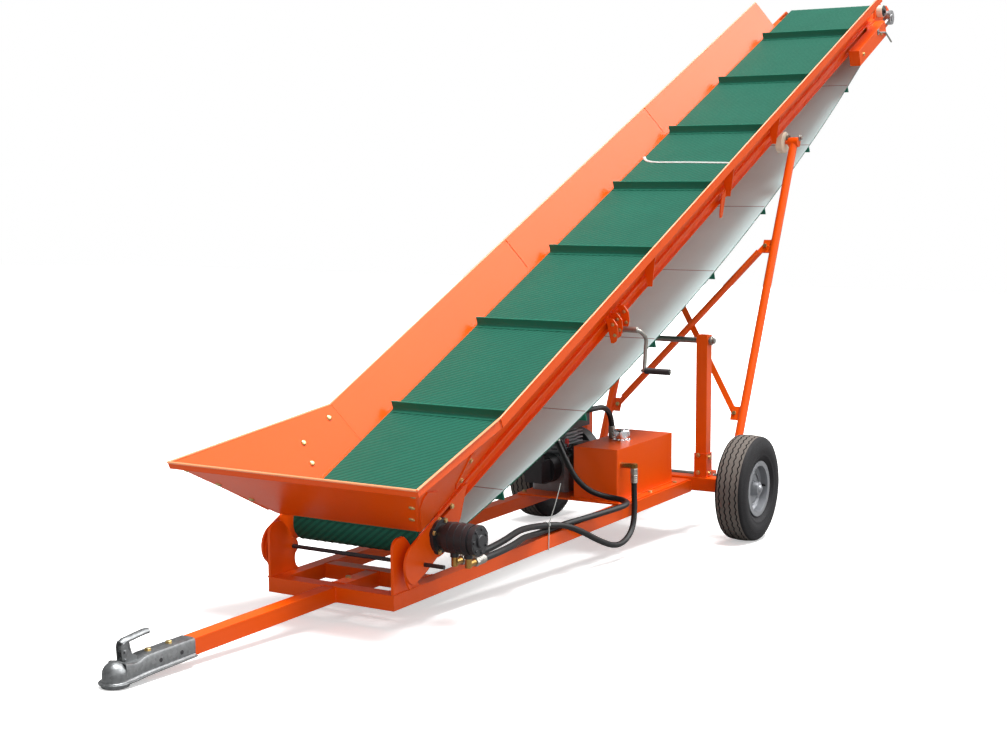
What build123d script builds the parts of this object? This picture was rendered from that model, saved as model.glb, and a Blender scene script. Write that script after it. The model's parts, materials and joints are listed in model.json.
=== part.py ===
"""Towed belt conveyor for firewood: a drawbar chassis on two wheels carries an inclined trough with a
cleated belt, a hopper at its low end, and a pair of swinging legs with rollers that lift the trough."""
import os
from math import asin, atan2, cos, degrees, hypot, pi, radians, sin

from build123d import *

# Driving dimensions in millimetres. Chassis places are given level: X = 0 at the front cross member,
# Y = 0 on the centre line, Z = 0 on the ground. The finished machine is tipped onto its coupler at the end.
CLEARANCE = 0.3
RUNNING = 0.05
TUBE = 50.0
TUBE_WALL = 3.0
FRAME_WIDTH = 500.0
FRAME_BOTTOM = 190.0
SECOND_MEMBER_X = 240.0
DRAWBAR_REACH = 850.0
SHEET = 3.0

# Running gear
AXLE_X = 2275.0
AXLE_BEAM = 60.0
BEAM_GAP = 19.5  # between the beam's end and the tyre
TYRE_DIAMETER = 450.0
TYRE_WIDTH = 135.0
TYRE_GAP = 179.5  # between the frame and the tyre
RIM_DIAMETER = 203.0
RIM_FLANGE = 246.0
SPINDLE_DIAMETER = 30.0
GROOVES = ((-36.0, 5.0), (-12.0, 5.0), (12.0, 5.0), (36.0, 5.0))  # offset from the middle, width
GROOVE_DEPTH = 6.0

# Ball coupler
BALL_DIAMETER = 51.0
BALL_AHEAD = 107.0  # ball centre ahead of the drawbar's end
CUP_RADIUS = 46.0
COUPLER_BOTTOM = 177.0
COUPLER_PLATE = 4.0
COUPLER_LAP = 182.0  # how far the coupler reaches back over the drawbar
COUPLER_FLANGE = 10.0

# Trough and belt. Trough places are (along, up) from the tail drum's axis, along the trough's slope.
BOOM_ANGLE = 24.07
TAIL_X = 205.0
TAIL_Z = 397.0
DRUM_SPACING = 4885.0
DRUM_RADIUS = 65.0
DRUM_SHAFT = 35.0
BELT_THICKNESS = 5.0
BELT_SAG = 190.0
CLEAT_COUNT = 16
CLEAT_FIRST = 600.0
CLEAT_HEIGHT = 35.0
CLEAT_INSET = 5.0
CLEAT_FOOT = 44.0
CLEAT_WEB = 7.0
RAIL_HEIGHT = 42.0
RAIL_FLANGE = 23.0
RAIL_GAP = 7.0  # between the belt's edge and the rail
RAIL_START = 40.0
RAIL_SHORT = 125.0  # rails stop short of the head drum's axis
WALL_TOP_UP = 137.0
WALL_FLARE = 95.0  # wall top beyond the rail's inner face
WALL_LIP = 38.0
WALL_SEAM_PLACES = (395.0, 1715.0, 3140.0)
WALL_SHORT = 235.0  # walls stop short of the head drum's axis
SEAM_GAP = 0.6
HOPPER_RIM = (-281.0, 384.0)  # along, up
HOPPER_FLARE = 226.0  # front corner beyond the rail's inner face
HOPPER_THROAT = (-82.0, 74.0)  # along, up
HOPPER_LIP = 24.0
GUSSETS = (1690.0, 2540.0, 3115.0)
END_PLATE = 8.0

# Tilt pivot of the trough, in chassis places
PIVOT_X = 120.0
PIVOT_Z = 320.0
PIVOT_ROD = 14.0
EAR_THICKNESS = 10.0

# Transport rest posts
POST_X = 2280.0
POST_GAP = 38.0  # post's middle beyond the frame
POST_TOP = 868.0
REST_SHAFT_Z = 843.0
REST_SHAFT = 25.0
REST_SHAFT_SPARE = 50.0  # shaft beyond the post's middle

# Lifting legs
LEG_HINGE_X = 2487.0
LEG_HINGE_Z = 215.0
LEG_GAP = 82.0  # leg's middle beyond the frame
LEG_TUBE = 38.0
LEG_SHAFT = 30.0
ROLLER_ALONG = 3254.0
ROLLER_DIAMETER = 100.0
ROLLER_WIDTH = 36.0
ROLLER_INSET = 17.0  # roller's middle beyond the rail's inner face
ROLLER_AXLE = 20.0
BRACE_TUBE = 26.0
BRACE_LEVELS = (300.0, 1110.0)  # along the legs, from the hinge

# Winch crank under the trough
CRANK_ALONG = 1380.0
CRANK_UP = 0.0
CRANK_SHAFT = 17.0
CRANK_ARM = 165.0
CRANK_GAP = 99.0  # crank arm beyond the end plates
GRIP_LENGTH = 103.0
GRIP_DIAMETER = 24.0

# Power pack
DECK_X = (1600.0, 2238.0)
DECK_THICKNESS = 6.0
TANK = (515.0, 200.0, 207.0)
TANK_START = 1630.0
TANK_INSET = 45.0  # tank's near side behind the frame's near side
ENGINE_X = 1800.0
ENGINE_Y = 150.0
HOSE_DIAMETER = 23.0

# Places that follow from the driving dimensions
LEVEL = Location((0, 0, 0))
BOOM = Location((TAIL_X, 0, TAIL_Z), (0, -BOOM_ANGLE, 0))
FRAME_TOP = FRAME_BOTTOM + TUBE
HALF_FRAME = FRAME_WIDTH / 2
BALL_X = -DRAWBAR_REACH - BALL_AHEAD
COUPLER_REAR = -DRAWBAR_REACH + COUPLER_LAP
TRACK = FRAME_WIDTH + 2 * TYRE_GAP + TYRE_WIDTH
AXLE_BEAM_LENGTH = TRACK - TYRE_WIDTH - 2 * BEAM_GAP
BELT_WIDTH = FRAME_WIDTH
CLEAT_LENGTH = BELT_WIDTH - 2 * CLEAT_INSET
RAIL_INNER = BELT_WIDTH / 2 + RAIL_GAP
RAIL_STOP = DRUM_SPACING - RAIL_SHORT
WALL_TOP_OUT = RAIL_INNER + WALL_FLARE
WALL_SEAMS = (*WALL_SEAM_PLACES, DRUM_SPACING - WALL_SHORT)
HOPPER_CORNER = (HOPPER_RIM[0], RAIL_INNER + HOPPER_FLARE, HOPPER_RIM[1])  # along, out, up
POST_OUT = HALF_FRAME + POST_GAP
REST_SHAFT_LENGTH = 2 * (POST_OUT + REST_SHAFT_SPARE)
LEG_OUT = HALF_FRAME + LEG_GAP
ROLLER_OUT = RAIL_INNER + ROLLER_INSET
CRANK_OUT = RAIL_INNER + RAIL_FLANGE + END_PLATE + CRANK_GAP
AXLE_Z = TYRE_DIAMETER / 2
BELT_RADIUS = DRUM_RADIUS + BELT_THICKNESS
BED_TOP = DRUM_RADIUS
RAIL_TOP = BED_TOP - SHEET
RAIL_BOTTOM = RAIL_TOP - RAIL_HEIGHT
RAIL_OUTER = RAIL_INNER + RAIL_FLANGE
ROLLER_UP = RAIL_BOTTOM - CLEARANCE - ROLLER_DIAMETER / 2
ROLLER_PLACE = (BOOM * Location((ROLLER_ALONG, 0, ROLLER_UP))).position
LEG_LENGTH = hypot(ROLLER_PLACE.X - LEG_HINGE_X, ROLLER_PLACE.Z - LEG_HINGE_Z)
LEG_LEAN = degrees(atan2(ROLLER_PLACE.X - LEG_HINGE_X, ROLLER_PLACE.Z - LEG_HINGE_Z))
LEGS = Location((LEG_HINGE_X, 0, LEG_HINGE_Z), (0, LEG_LEAN, 0))
PIVOT = BOOM.inverse() * Location((PIVOT_X, 0, PIVOT_Z))
PIVOT_ALONG = PIVOT.position.X
PIVOT_UP = PIVOT.position.Z

parts = {}


def side(base, y):
    """Plane across the machine at y: its own x runs along the body, its own y up."""
    return Plane(base * Plane.XZ.offset(-y).location)


def cross(base, x):
    """Plane across the body at x: its own x runs towards +Y, its own y up."""
    return Plane(base * Plane.YZ.offset(x).location)


def flat(base, z):
    """Plane parallel to the body's base at height z."""
    return Plane(base * Plane.XY.offset(z).location)


def keep(name, part):
    """Label a finished piece and keep it for export."""
    part.label = name
    parts[name] = part


def box_tube(plane, size, wall, length):
    """Square tube that starts at a plane's origin and runs along its normal."""
    with BuildPart() as tube:
        with BuildSketch(plane):
            Rectangle(size, size)
            Rectangle(size - 2 * wall, size - 2 * wall, mode=Mode.SUBTRACT)
        extrude(amount=length)
    return tube.part


def rod(plane, radius, length, hole=0.0):
    """Round bar or sleeve that starts at a plane's origin and runs along its normal."""
    with BuildPart() as bar:
        with BuildSketch(plane):
            Circle(radius)
            if hole:
                Circle(hole, mode=Mode.SUBTRACT)
        extrude(amount=length)
    return bar.part


def shifted(plane, x, y):
    """The same plane with its origin moved within it."""
    return Plane(plane.location * Location((x, y, 0)))


def sheet_outline(points, thickness):
    """Closed outline of a folded sheet whose middle line runs through the points."""
    half = thickness / 2
    left, right = [], []
    for i, (x, y) in enumerate(points):
        legs = []
        if i > 0:
            legs.append((x - points[i - 1][0], y - points[i - 1][1]))
        if i < len(points) - 1:
            legs.append((points[i + 1][0] - x, points[i + 1][1] - y))
        normals = [(-dy / hypot(dx, dy), dx / hypot(dx, dy)) for dx, dy in legs]
        nx = sum(n[0] for n in normals) / len(normals)
        ny = sum(n[1] for n in normals) / len(normals)
        scale = half / (nx * nx + ny * ny)
        left.append((x + nx * scale, y + ny * scale))
        right.append((x - nx * scale, y - ny * scale))
    return left + right[::-1]


def plate(plane, points, thickness):
    """Flat plate with a straight-sided outline, thickened along the plane's normal."""
    with BuildPart() as sheet:
        with BuildSketch(plane):
            with BuildLine():
                Polyline(*points, close=True)
            make_face()
        extrude(amount=thickness)
    return sheet.part


# Chassis: two rails, cross members, drawbar
rail_y = HALF_FRAME - TUBE / 2
frame_z = FRAME_BOTTOM + TUBE / 2
rail_end = AXLE_X - AXLE_BEAM / 2
near_rail = box_tube(shifted(cross(LEVEL, TUBE), -rail_y, frame_z), TUBE, TUBE_WALL, rail_end - TUBE)
with BuildPart() as chassis_rails:
    add(near_rail)
    mirror(about=Plane.XZ)
keep("chassis_rails", chassis_rails.part)

front_tube = box_tube(shifted(side(LEVEL, HALF_FRAME), TUBE / 2, frame_z), TUBE, TUBE_WALL, FRAME_WIDTH)
inner_width = FRAME_WIDTH - 2 * TUBE
second_plane = shifted(side(LEVEL, inner_width / 2), SECOND_MEMBER_X + TUBE / 2, frame_z)
second_tube = box_tube(second_plane, TUBE, TUBE_WALL, inner_width)
with BuildPart() as front_member:
    add(front_tube)
    with BuildSketch(shifted(side(LEVEL, HALF_FRAME), TUBE / 2, frame_z)):
        Rectangle(TUBE, TUBE)
    extrude(amount=TUBE_WALL)
    mirror(about=Plane.XZ)
with BuildPart() as cross_members:
    add(front_member.part)
    add(second_tube)
keep("cross_members", cross_members.part)

drawbar_front = box_tube(shifted(cross(LEVEL, -DRAWBAR_REACH), 0, frame_z), TUBE, TUBE_WALL, DRAWBAR_REACH)
drawbar_inner = box_tube(shifted(cross(LEVEL, TUBE), 0, frame_z), TUBE, TUBE_WALL, SECOND_MEMBER_X - TUBE)
with BuildPart() as drawbar:
    add(drawbar_front)
    add(drawbar_inner)
keep("drawbar", drawbar.part)

# Ball coupler: a pressed channel over the drawbar that runs out into a domed cup
coupler_half = TUBE / 2 + COUPLER_PLATE
coupler_top = FRAME_TOP + COUPLER_PLATE
socket_centre = COUPLER_BOTTOM + 30.0
neck_x = -DRAWBAR_REACH - 12.0
tangent = (BALL_X + 8.0, CUP_RADIUS - 8.0)
with BuildPart() as dome:
    with BuildSketch(flat(LEVEL, FRAME_BOTTOM + 4)):
        with BuildLine():
            Line((neck_x, coupler_half), tangent)
            ThreePointArc(tangent, (BALL_X - CUP_RADIUS + 7.0, 0), (tangent[0], -tangent[1]))
            Polyline((tangent[0], -tangent[1]), (neck_x, -coupler_half), (neck_x, coupler_half))
        make_face()
    extrude(amount=coupler_top - FRAME_BOTTOM - 4)
    rim_edges = dome.edges().group_by(Axis.Z)[-1].sort_by(Axis.X)[:-1]
    fillet(rim_edges, radius=14.0)
with BuildPart() as coupler:
    with BuildSketch(cross(LEVEL, COUPLER_REAR)):
        with BuildLine():
            Polyline(
                (-coupler_half, FRAME_BOTTOM + 4), (-coupler_half, coupler_top), (coupler_half, coupler_top),
                (coupler_half, FRAME_BOTTOM + 4), (TUBE / 2, FRAME_BOTTOM + 4), (TUBE / 2, FRAME_TOP),
                (-TUBE / 2, FRAME_TOP), (-TUBE / 2, FRAME_BOTTOM + 4), close=True,
            )
        make_face()
    extrude(amount=neck_x - COUPLER_REAR)
    add(dome.part)
    with BuildSketch(flat(LEVEL, FRAME_BOTTOM + 4)):
        for flank in (-1, 1):
            with Locations(((COUPLER_REAR + neck_x) / 2, flank * (coupler_half + COUPLER_FLANGE / 2))):
                Rectangle(COUPLER_REAR - neck_x, COUPLER_FLANGE)
    extrude(amount=COUPLER_PLATE)
    with BuildSketch(flat(LEVEL, COUPLER_BOTTOM)):
        with Locations((BALL_X, 0)):
            Circle(CUP_RADIUS)
        with Locations(((BALL_X + neck_x) / 2, 0)):
            Rectangle(neck_x - BALL_X, 2 * coupler_half)
    extrude(amount=FRAME_BOTTOM + 6 - COUPLER_BOTTOM)
    with Locations((BALL_X, 0, COUPLER_BOTTOM)):
        Cylinder(
            BALL_DIAMETER / 2, socket_centre - COUPLER_BOTTOM,
            align=(Align.CENTER, Align.CENTER, Align.MIN), mode=Mode.SUBTRACT,
        )
    with Locations((BALL_X, 0, socket_centre)):
        Sphere(BALL_DIAMETER / 2, mode=Mode.SUBTRACT)
keep("coupler", coupler.part)

latch_foot = coupler_top
with BuildPart() as coupler_latch:
    with BuildSketch(side(LEVEL, 8.0)):
        with BuildLine():
            Polyline(
                (BALL_X + 4, latch_foot), (BALL_X + 72, latch_foot), (BALL_X + 72, latch_foot + 20),
                (BALL_X + 58, latch_foot + 32), (BALL_X + 128, latch_foot + 44),
                (BALL_X + 132, latch_foot + 53), (BALL_X + 40, latch_foot + 55),
                (BALL_X + 16, latch_foot + 34), close=True,
            )
        make_face()
        with Locations((BALL_X + 44, latch_foot + 36)):
            Circle(7.0, mode=Mode.SUBTRACT)
    extrude(amount=16.0)
    fillet(coupler_latch.edges().filter_by(Axis.Y), radius=3.0)
keep("coupler_latch", coupler_latch.part)

# Hinge ears on the rails and the tilt pivot rod
with BuildPart() as hinge_ears:
    with BuildSketch(side(LEVEL, HALF_FRAME)):
        with BuildLine():
            Polyline((PIVOT_X + 30, FRAME_TOP), (0, FRAME_TOP), (0, 385))
            ThreePointArc((0, 385), (10, 408), (34, 418))
            Line((34, 418), (60, 418))
            ThreePointArc((60, 418), (84, 398), (PIVOT_X - 6, PIVOT_Z + 28))
            ThreePointArc((PIVOT_X - 6, PIVOT_Z + 28), (PIVOT_X + 28, PIVOT_Z), (PIVOT_X + 14, PIVOT_Z - 24))
            ThreePointArc((PIVOT_X + 14, PIVOT_Z - 24), (PIVOT_X + 12, 262), (PIVOT_X + 30, FRAME_TOP))
        make_face()
        with Locations((PIVOT_X, PIVOT_Z)):
            Circle(PIVOT_ROD / 2 + RUNNING, mode=Mode.SUBTRACT)
    extrude(amount=EAR_THICKNESS)
    mirror(about=Plane.XZ)
keep("hinge_ears", hinge_ears.part)

pivot_plane = shifted(side(LEVEL, HALF_FRAME + 50), PIVOT_X, PIVOT_Z)
keep("pivot_rod", rod(pivot_plane, PIVOT_ROD / 2, FRAME_WIDTH + 162))

# Axle beam with its spindles, and the wheels
spindle_end = TRACK / 2 + 22.0
axle_line = shifted(side(LEVEL, AXLE_BEAM_LENGTH / 2), AXLE_X, AXLE_Z)
spindles = rod(shifted(side(LEVEL, spindle_end), AXLE_X, AXLE_Z), SPINDLE_DIAMETER / 2, 2 * spindle_end)
with BuildPart() as axle_beam:
    with BuildSketch(axle_line):
        Rectangle(AXLE_BEAM, AXLE_BEAM)
    extrude(amount=AXLE_BEAM_LENGTH)
    chamfer(axle_beam.edges().filter_by(Axis.Y), length=4.0)
    add(spindles)
keep("axle_beam", axle_beam.part)


def wheel_profile_plane(y):
    """Half section of a wheel: own x runs outwards along the axle, own y is the radius."""
    outward = 1 if y > 0 else -1
    return Plane(origin=(AXLE_X, y, AXLE_Z), x_dir=(0, outward, 0), z_dir=(-outward, 0, 0))


def tyre(y):
    """Ribbed tyre: rounded shoulders, straight ribs between four grooves."""
    outer, half = TYRE_DIAMETER / 2, TYRE_WIDTH / 2
    bead = RIM_DIAMETER / 2 + CLEARANCE
    wide, flare = half - 20, (half - 12, bead + 30)
    plane = wheel_profile_plane(y)
    with BuildPart() as ring:
        with BuildSketch(plane):
            with BuildLine():
                Polyline((-wide, bead + 20), (-wide, bead), (wide, bead), (wide, bead + 20), flare)
                ThreePointArc(flare, (half, outer - 56), (half - 8, outer - 18))
                ThreePointArc((half - 8, outer - 18), (half - 12, outer - 8), (half - 20, outer - 4))
                ThreePointArc((half - 20, outer - 4), (0, outer), (-half + 20, outer - 4))
                ThreePointArc((-half + 20, outer - 4), (-half + 12, outer - 8), (-half + 8, outer - 18))
                ThreePointArc((-half + 8, outer - 18), (-half, outer - 56), (-flare[0], flare[1]))
                Line((-flare[0], flare[1]), (-wide, bead + 20))
            make_face()
            for offset_y, width in GROOVES:
                with Locations((offset_y, outer)):
                    Rectangle(width, 2 * GROOVE_DEPTH, mode=Mode.SUBTRACT)
        revolve(axis=Axis((AXLE_X, 0, AXLE_Z), (0, 1, 0)))
    return ring.part


def rim(y):
    """Pressed disc wheel: barrel with two flanges, dished disc and hub tube."""
    barrel, flange, half = RIM_DIAMETER / 2, RIM_FLANGE / 2, TYRE_WIDTH / 2 - 20
    inner = barrel - 4
    plane = wheel_profile_plane(y)
    bore = SPINDLE_DIAMETER / 2 + RUNNING
    with BuildPart() as disc:
        with BuildSketch(plane):
            with BuildLine():
                Polyline(
                    (-half - 6, flange - 9), (-half - 6, flange - 5), (-half - 1, flange - 5),
                    (-half - 1, barrel), (half + 1, barrel), (half + 1, flange - 5), (half + 6, flange - 5),
                    (half + 6, flange - 9), (half + 5, inner), (22, inner), (16, inner - 12), (24, 62),
                    (24, 34), (half + 6, 28), (half + 6, bore), (-half - 6, bore), (-half - 6, 28), (14, 30),
                    (16, 60), (8, inner - 14), (8, inner), (-half - 5, inner), close=True,
                )
            make_face()
        revolve(axis=Axis((AXLE_X, 0, AXLE_Z), (0, 1, 0)))
    return disc.part


for wheel_side, wheel_y in (("near", -TRACK / 2), ("far", TRACK / 2)):
    keep(f"tyre_{wheel_side}", tyre(wheel_y))
    keep(f"rim_{wheel_side}", rim(wheel_y))

# Transport rest: two posts on the axle beam with a cross shaft at their tops
post_foot = AXLE_Z + AXLE_BEAM / 2
post_plane = shifted(flat(LEVEL, post_foot), POST_X, POST_OUT)
post_tube = box_tube(post_plane, TUBE, TUBE_WALL, POST_TOP - post_foot)
sleeve = box_tube(post_plane, TUBE + 8, 4.0, 100.0)
with BuildPart() as rest_posts:
    add(post_tube)
    add(sleeve)
    with BuildSketch(shifted(side(LEVEL, POST_OUT + TUBE), POST_X, REST_SHAFT_Z)):
        Circle(REST_SHAFT / 2 + RUNNING)
    extrude(amount=2 * TUBE, mode=Mode.SUBTRACT)
    mirror(about=Plane.XZ)
keep("rest_posts", rest_posts.part)
rest_plane = shifted(side(LEVEL, REST_SHAFT_LENGTH / 2), POST_X, REST_SHAFT_Z)
keep("rest_shaft", rod(rest_plane, REST_SHAFT / 2, REST_SHAFT_LENGTH))

# Leg carriers behind the axle beam and the shaft that the legs hinge on
carrier_start = AXLE_X + AXLE_BEAM / 2
carrier_tube = box_tube(
    shifted(cross(LEVEL, carrier_start), rail_y, frame_z), TUBE, TUBE_WALL, LEG_HINGE_X + 28 - carrier_start
)
with BuildPart() as leg_carriers:
    add(carrier_tube)
    with BuildSketch(shifted(side(LEVEL, HALF_FRAME + 1), LEG_HINGE_X, LEG_HINGE_Z)):
        Circle(LEG_SHAFT / 2 + RUNNING)
    extrude(amount=TUBE + 2, mode=Mode.SUBTRACT)
    mirror(about=Plane.XZ)
keep("leg_carriers", leg_carriers.part)
shaft_half = LEG_OUT + 42.0
leg_shaft_plane = shifted(side(LEVEL, shaft_half), LEG_HINGE_X, LEG_HINGE_Z)
keep("leg_shaft", rod(leg_shaft_plane, LEG_SHAFT / 2, 2 * shaft_half))

# Deck, oil tank and its fittings
with BuildPart() as deck:
    with BuildSketch(side(LEVEL, HALF_FRAME - 5)):
        with BuildLine():
            Polyline(
                (DECK_X[0], FRAME_TOP), (DECK_X[1], FRAME_TOP), (DECK_X[1], FRAME_TOP + DECK_THICKNESS),
                (DECK_X[0], FRAME_TOP + DECK_THICKNESS), close=True,
            )
        make_face()
    extrude(amount=FRAME_WIDTH - 10)
    fillet(deck.edges().filter_by(Axis.Z), radius=12.0)
keep("deck", deck.part)

deck_top = FRAME_TOP + DECK_THICKNESS
tank_x, tank_y = TANK_START, TANK_INSET - HALF_FRAME
tank_top = deck_top + 4.0 + TANK[2]
with BuildPart() as oil_tank:
    with BuildSketch(flat(LEVEL, deck_top)):
        with Locations((tank_x + TANK[0] / 2, tank_y + TANK[1] / 2)):
            Rectangle(TANK[0] + 16, TANK[1] + 16)
    extrude(amount=4.0)
    with BuildSketch(flat(LEVEL, deck_top + 4.0)):
        with Locations((tank_x + TANK[0] / 2, tank_y + TANK[1] / 2)):
            Rectangle(*TANK[:2])
    extrude(amount=TANK[2])
    fillet(oil_tank.edges().filter_by(Axis.Z).filter_by(lambda e: e.length > 100), radius=5.0)
keep("oil_tank", oil_tank.part)

cap_place = (tank_x + 225.0, tank_y + 95.0)
with BuildPart() as tank_cap:
    with Locations(flat(LEVEL, tank_top)):
        with Locations((*cap_place, 0)):
            Cylinder(38.0, 6.0, align=(Align.CENTER, Align.CENTER, Align.MIN))
            Cylinder(26.0, 20.0, align=(Align.CENTER, Align.CENTER, Align.MIN))
    with Locations(flat(LEVEL, tank_top + 20.0)):
        with Locations((*cap_place, 0)):
            Cylinder(33.0, 26.0, align=(Align.CENTER, Align.CENTER, Align.MIN))
    fillet(tank_cap.edges().group_by(Axis.Z)[-1], radius=6.0)
keep("tank_cap", tank_cap.part)

# Engine: block with cooling fins, then its black covers: recoil housing, fuel tank, muffler
engine_low = deck_top
with BuildPart() as engine_block:
    with Locations((ENGINE_X, ENGINE_Y, engine_low)):
        Box(190, 170, 150, align=(Align.CENTER, Align.CENTER, Align.MIN))
    chamfer(engine_block.edges().filter_by(Axis.Z), length=14.0)
    with Locations((ENGINE_X, ENGINE_Y, engine_low + 150)):
        Box(96, 100, 112, align=(Align.CENTER, Align.CENTER, Align.MIN))
    with Locations(*[(ENGINE_X, ENGINE_Y, engine_low + 164 + 15 * i) for i in range(6)]):
        Box(140, 140, 5, align=(Align.CENTER, Align.CENTER, Align.MIN))
keep("engine_block", engine_block.part)

recoil = rod(shifted(cross(LEVEL, ENGINE_X + 95), ENGINE_Y, engine_low + 130), 108.0, 62.0)
with BuildPart() as fuel_tank:
    with Locations((ENGINE_X, ENGINE_Y, engine_low + 262)):
        Box(210, 190, 78, align=(Align.CENTER, Align.CENTER, Align.MIN))
    fillet(fuel_tank.edges().filter_by(Axis.Z), radius=28.0)
    fillet(fuel_tank.edges().group_by(Axis.Z)[-1], radius=14.0)
with BuildPart() as muffler:
    with Locations((ENGINE_X, ENGINE_Y + 85, engine_low + 45)):
        Box(150, 52, 90, align=(Align.CENTER, Align.MIN, Align.MIN))
    fillet(muffler.edges().filter_by(Axis.X), radius=16.0)
with BuildPart() as engine_covers:
    add(recoil)
    add(fuel_tank.part)
    add(muffler.part)
keep("engine_covers", engine_covers.part)

# Pump on the engine's shaft end, with the control valve standing on it
pump_x, pump_y, pump_z = ENGINE_X - 95, ENGINE_Y, engine_low + 100
bell = rod(shifted(cross(LEVEL, pump_x - 62), pump_y, pump_z), 62.0, 62.0)
valve_inlet = Plane(origin=(1545, 40, 520), x_dir=(1, 0, 0), z_dir=(10, 35, 55))
elbow = rod(valve_inlet, 12.0, 55.0)
with BuildPart() as pump:
    add(bell)
    with Locations((pump_x - 62, pump_y, pump_z)):
        Box(72, 80, 90, align=(Align.MAX, Align.CENTER, Align.CENTER))
    with Locations((pump_x - 134, pump_y - 40, pump_z)):
        Box(24, 20, 170, align=(Align.MIN, Align.MIN, Align.MIN))
    with Locations((1568, 95, 545)):
        Box(64, 70, 84)
    add(elbow)
keep("pump", pump.part)

# Oil fittings: elbow on the tank's near side, stubs on the tank top and the pump top
FITTING = 11.0
STUB = 12.0
side_fitting = (tank_x + 35.0, tank_y, 392.0)
elbow_y = tank_y - 57.0
top_fitting = (tank_x + 255.0, tank_y + 155.0, tank_top)
pump_fitting = (1625.0, pump_y + 10, pump_z + 45)
with BuildPart() as oil_fittings:
    with Locations(Location(side_fitting, (90, 0, 0))):
        Cylinder(FITTING, 57.0 + FITTING, align=(Align.CENTER, Align.CENTER, Align.MIN))
    with Locations((side_fitting[0], elbow_y, side_fitting[2] - 26)):
        Cylinder(FITTING, 37.0, align=(Align.CENTER, Align.CENTER, Align.MIN))
    with Locations(top_fitting, pump_fitting):
        Cylinder(FITTING, STUB, align=(Align.CENTER, Align.CENTER, Align.MIN))
keep("oil_fittings", oil_fittings.part)

# Trough frame: channel rails, bed sheet under the belt
channel = [
    (RAIL_INNER, RAIL_BOTTOM), (RAIL_OUTER, RAIL_BOTTOM), (RAIL_OUTER, RAIL_BOTTOM + SHEET),
    (RAIL_INNER + SHEET, RAIL_BOTTOM + SHEET), (RAIL_INNER + SHEET, RAIL_TOP - SHEET),
    (RAIL_OUTER, RAIL_TOP - SHEET), (RAIL_OUTER, RAIL_TOP), (RAIL_INNER, RAIL_TOP),
]
far_channel = plate(cross(BOOM, RAIL_START), channel, RAIL_STOP - RAIL_START)
with BuildPart() as trough_rails:
    add(far_channel)
    mirror(about=Plane.XZ)
keep("trough_rails", trough_rails.part)

bed_half = RAIL_INNER + 2.0
bed_ends = (DRUM_RADIUS + 10.0, DRUM_SPACING - DRUM_RADIUS - 10.0)
bed_start, bed_stop = bed_ends
bed_outline = [(bed_start, -bed_half), (bed_stop, -bed_half), (bed_stop, bed_half), (bed_start, bed_half)]
keep("bed_sheet", plate(flat(BOOM, RAIL_TOP), bed_outline, SHEET))

# Side walls: folded sheet panels with a foot on the rail and a lip turned down at the top
wall_up = BELT_RADIUS + WALL_TOP_UP - SHEET / 2
wall_foot = RAIL_TOP + SHEET / 2
wall_line = [
    (RAIL_OUTER, wall_foot), (RAIL_INNER + 5, wall_foot), (WALL_TOP_OUT - 4, wall_up),
    (WALL_TOP_OUT + 1, wall_up), (WALL_TOP_OUT + 1, wall_up - WALL_LIP + SHEET / 2),
]
wall_section = sheet_outline(wall_line, SHEET)
panels = []
for start, stop in zip(WALL_SEAMS[:-1], WALL_SEAMS[1:]):
    panels.append(plate(cross(BOOM, start + SEAM_GAP / 2), wall_section, stop - start - SEAM_GAP))
with BuildPart() as wall_far:
    for panel in panels:
        add(panel)
keep("wall_far", wall_far.part)
with BuildPart() as wall_near:
    add(wall_far.part)
    mirror(about=Plane.XZ, mode=Mode.REPLACE)
keep("wall_near", wall_near.part)


def panel_between(points, thickness):
    """Flat panel through corner points given as (along, out, up) in the trough's frame."""
    corners = [(BOOM * Location(p)).position for p in points]
    x_dir = corners[1] - corners[0]
    plane = Plane(corners[0], x_dir=x_dir, z_dir=x_dir.cross(corners[2] - corners[0]))
    local = [plane.to_local_coords(c) for c in corners]
    with BuildPart() as flat_panel:
        with BuildSketch(plane):
            with BuildLine():
                Polyline(*[(v.X, v.Y) for v in local], close=True)
            make_face()
        extrude(amount=thickness / 2, both=True)
    return flat_panel.part


# Hopper: two flared sides, a sloping front, lips along the rim and feet on the rails
seam = WALL_SEAMS[0] - SEAM_GAP / 2
fold = (seam, RAIL_INNER + 5, wall_foot)
brow = (seam, WALL_TOP_OUT - 4, wall_up)
corner = HOPPER_CORNER
rise_out = (brow[1] - fold[1]) / (brow[2] - fold[2])
lean_out = (corner[1] - fold[1] - rise_out * (corner[2] - fold[2])) / (corner[0] - seam)


def side_out(along, up):
    """How far out the hopper's side stands at a place along the trough and a height."""
    return fold[1] + rise_out * (up - fold[2]) + lean_out * (along - seam)


throat = (HOPPER_THROAT[0], side_out(*HOPPER_THROAT), HOPPER_THROAT[1])
heel = (RAIL_START + 5, side_out(RAIL_START + 5, wall_foot), wall_foot)
hopper_side = panel_between([fold, brow, corner, throat, heel], SHEET)
side_lip = panel_between(
    [brow, corner, (*corner[:2], corner[2] - HOPPER_LIP), (seam, brow[1], brow[2] - WALL_LIP)], SHEET
)
hopper_foot = plate(
    flat(BOOM, RAIL_TOP),
    [(heel[0], RAIL_INNER + 4), (seam, RAIL_INNER + 4), (seam, RAIL_OUTER), (heel[0], RAIL_OUTER)], SHEET,
)
hopper_front = panel_between(
    [(throat[0], -throat[1], throat[2]), throat, corner, (corner[0], -corner[1], corner[2])], SHEET
)
front_lip = panel_between(
    [
        (corner[0], -corner[1], corner[2]), corner, (corner[0], corner[1], corner[2] - HOPPER_LIP),
        (corner[0], -corner[1], corner[2] - HOPPER_LIP),
    ], SHEET,
)
with BuildPart() as hopper:
    for piece in (hopper_side, side_lip, hopper_foot):
        add(piece)
    mirror(about=Plane.XZ)
    add(hopper_front)
    add(front_lip)
keep("hopper", hopper.part)

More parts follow.
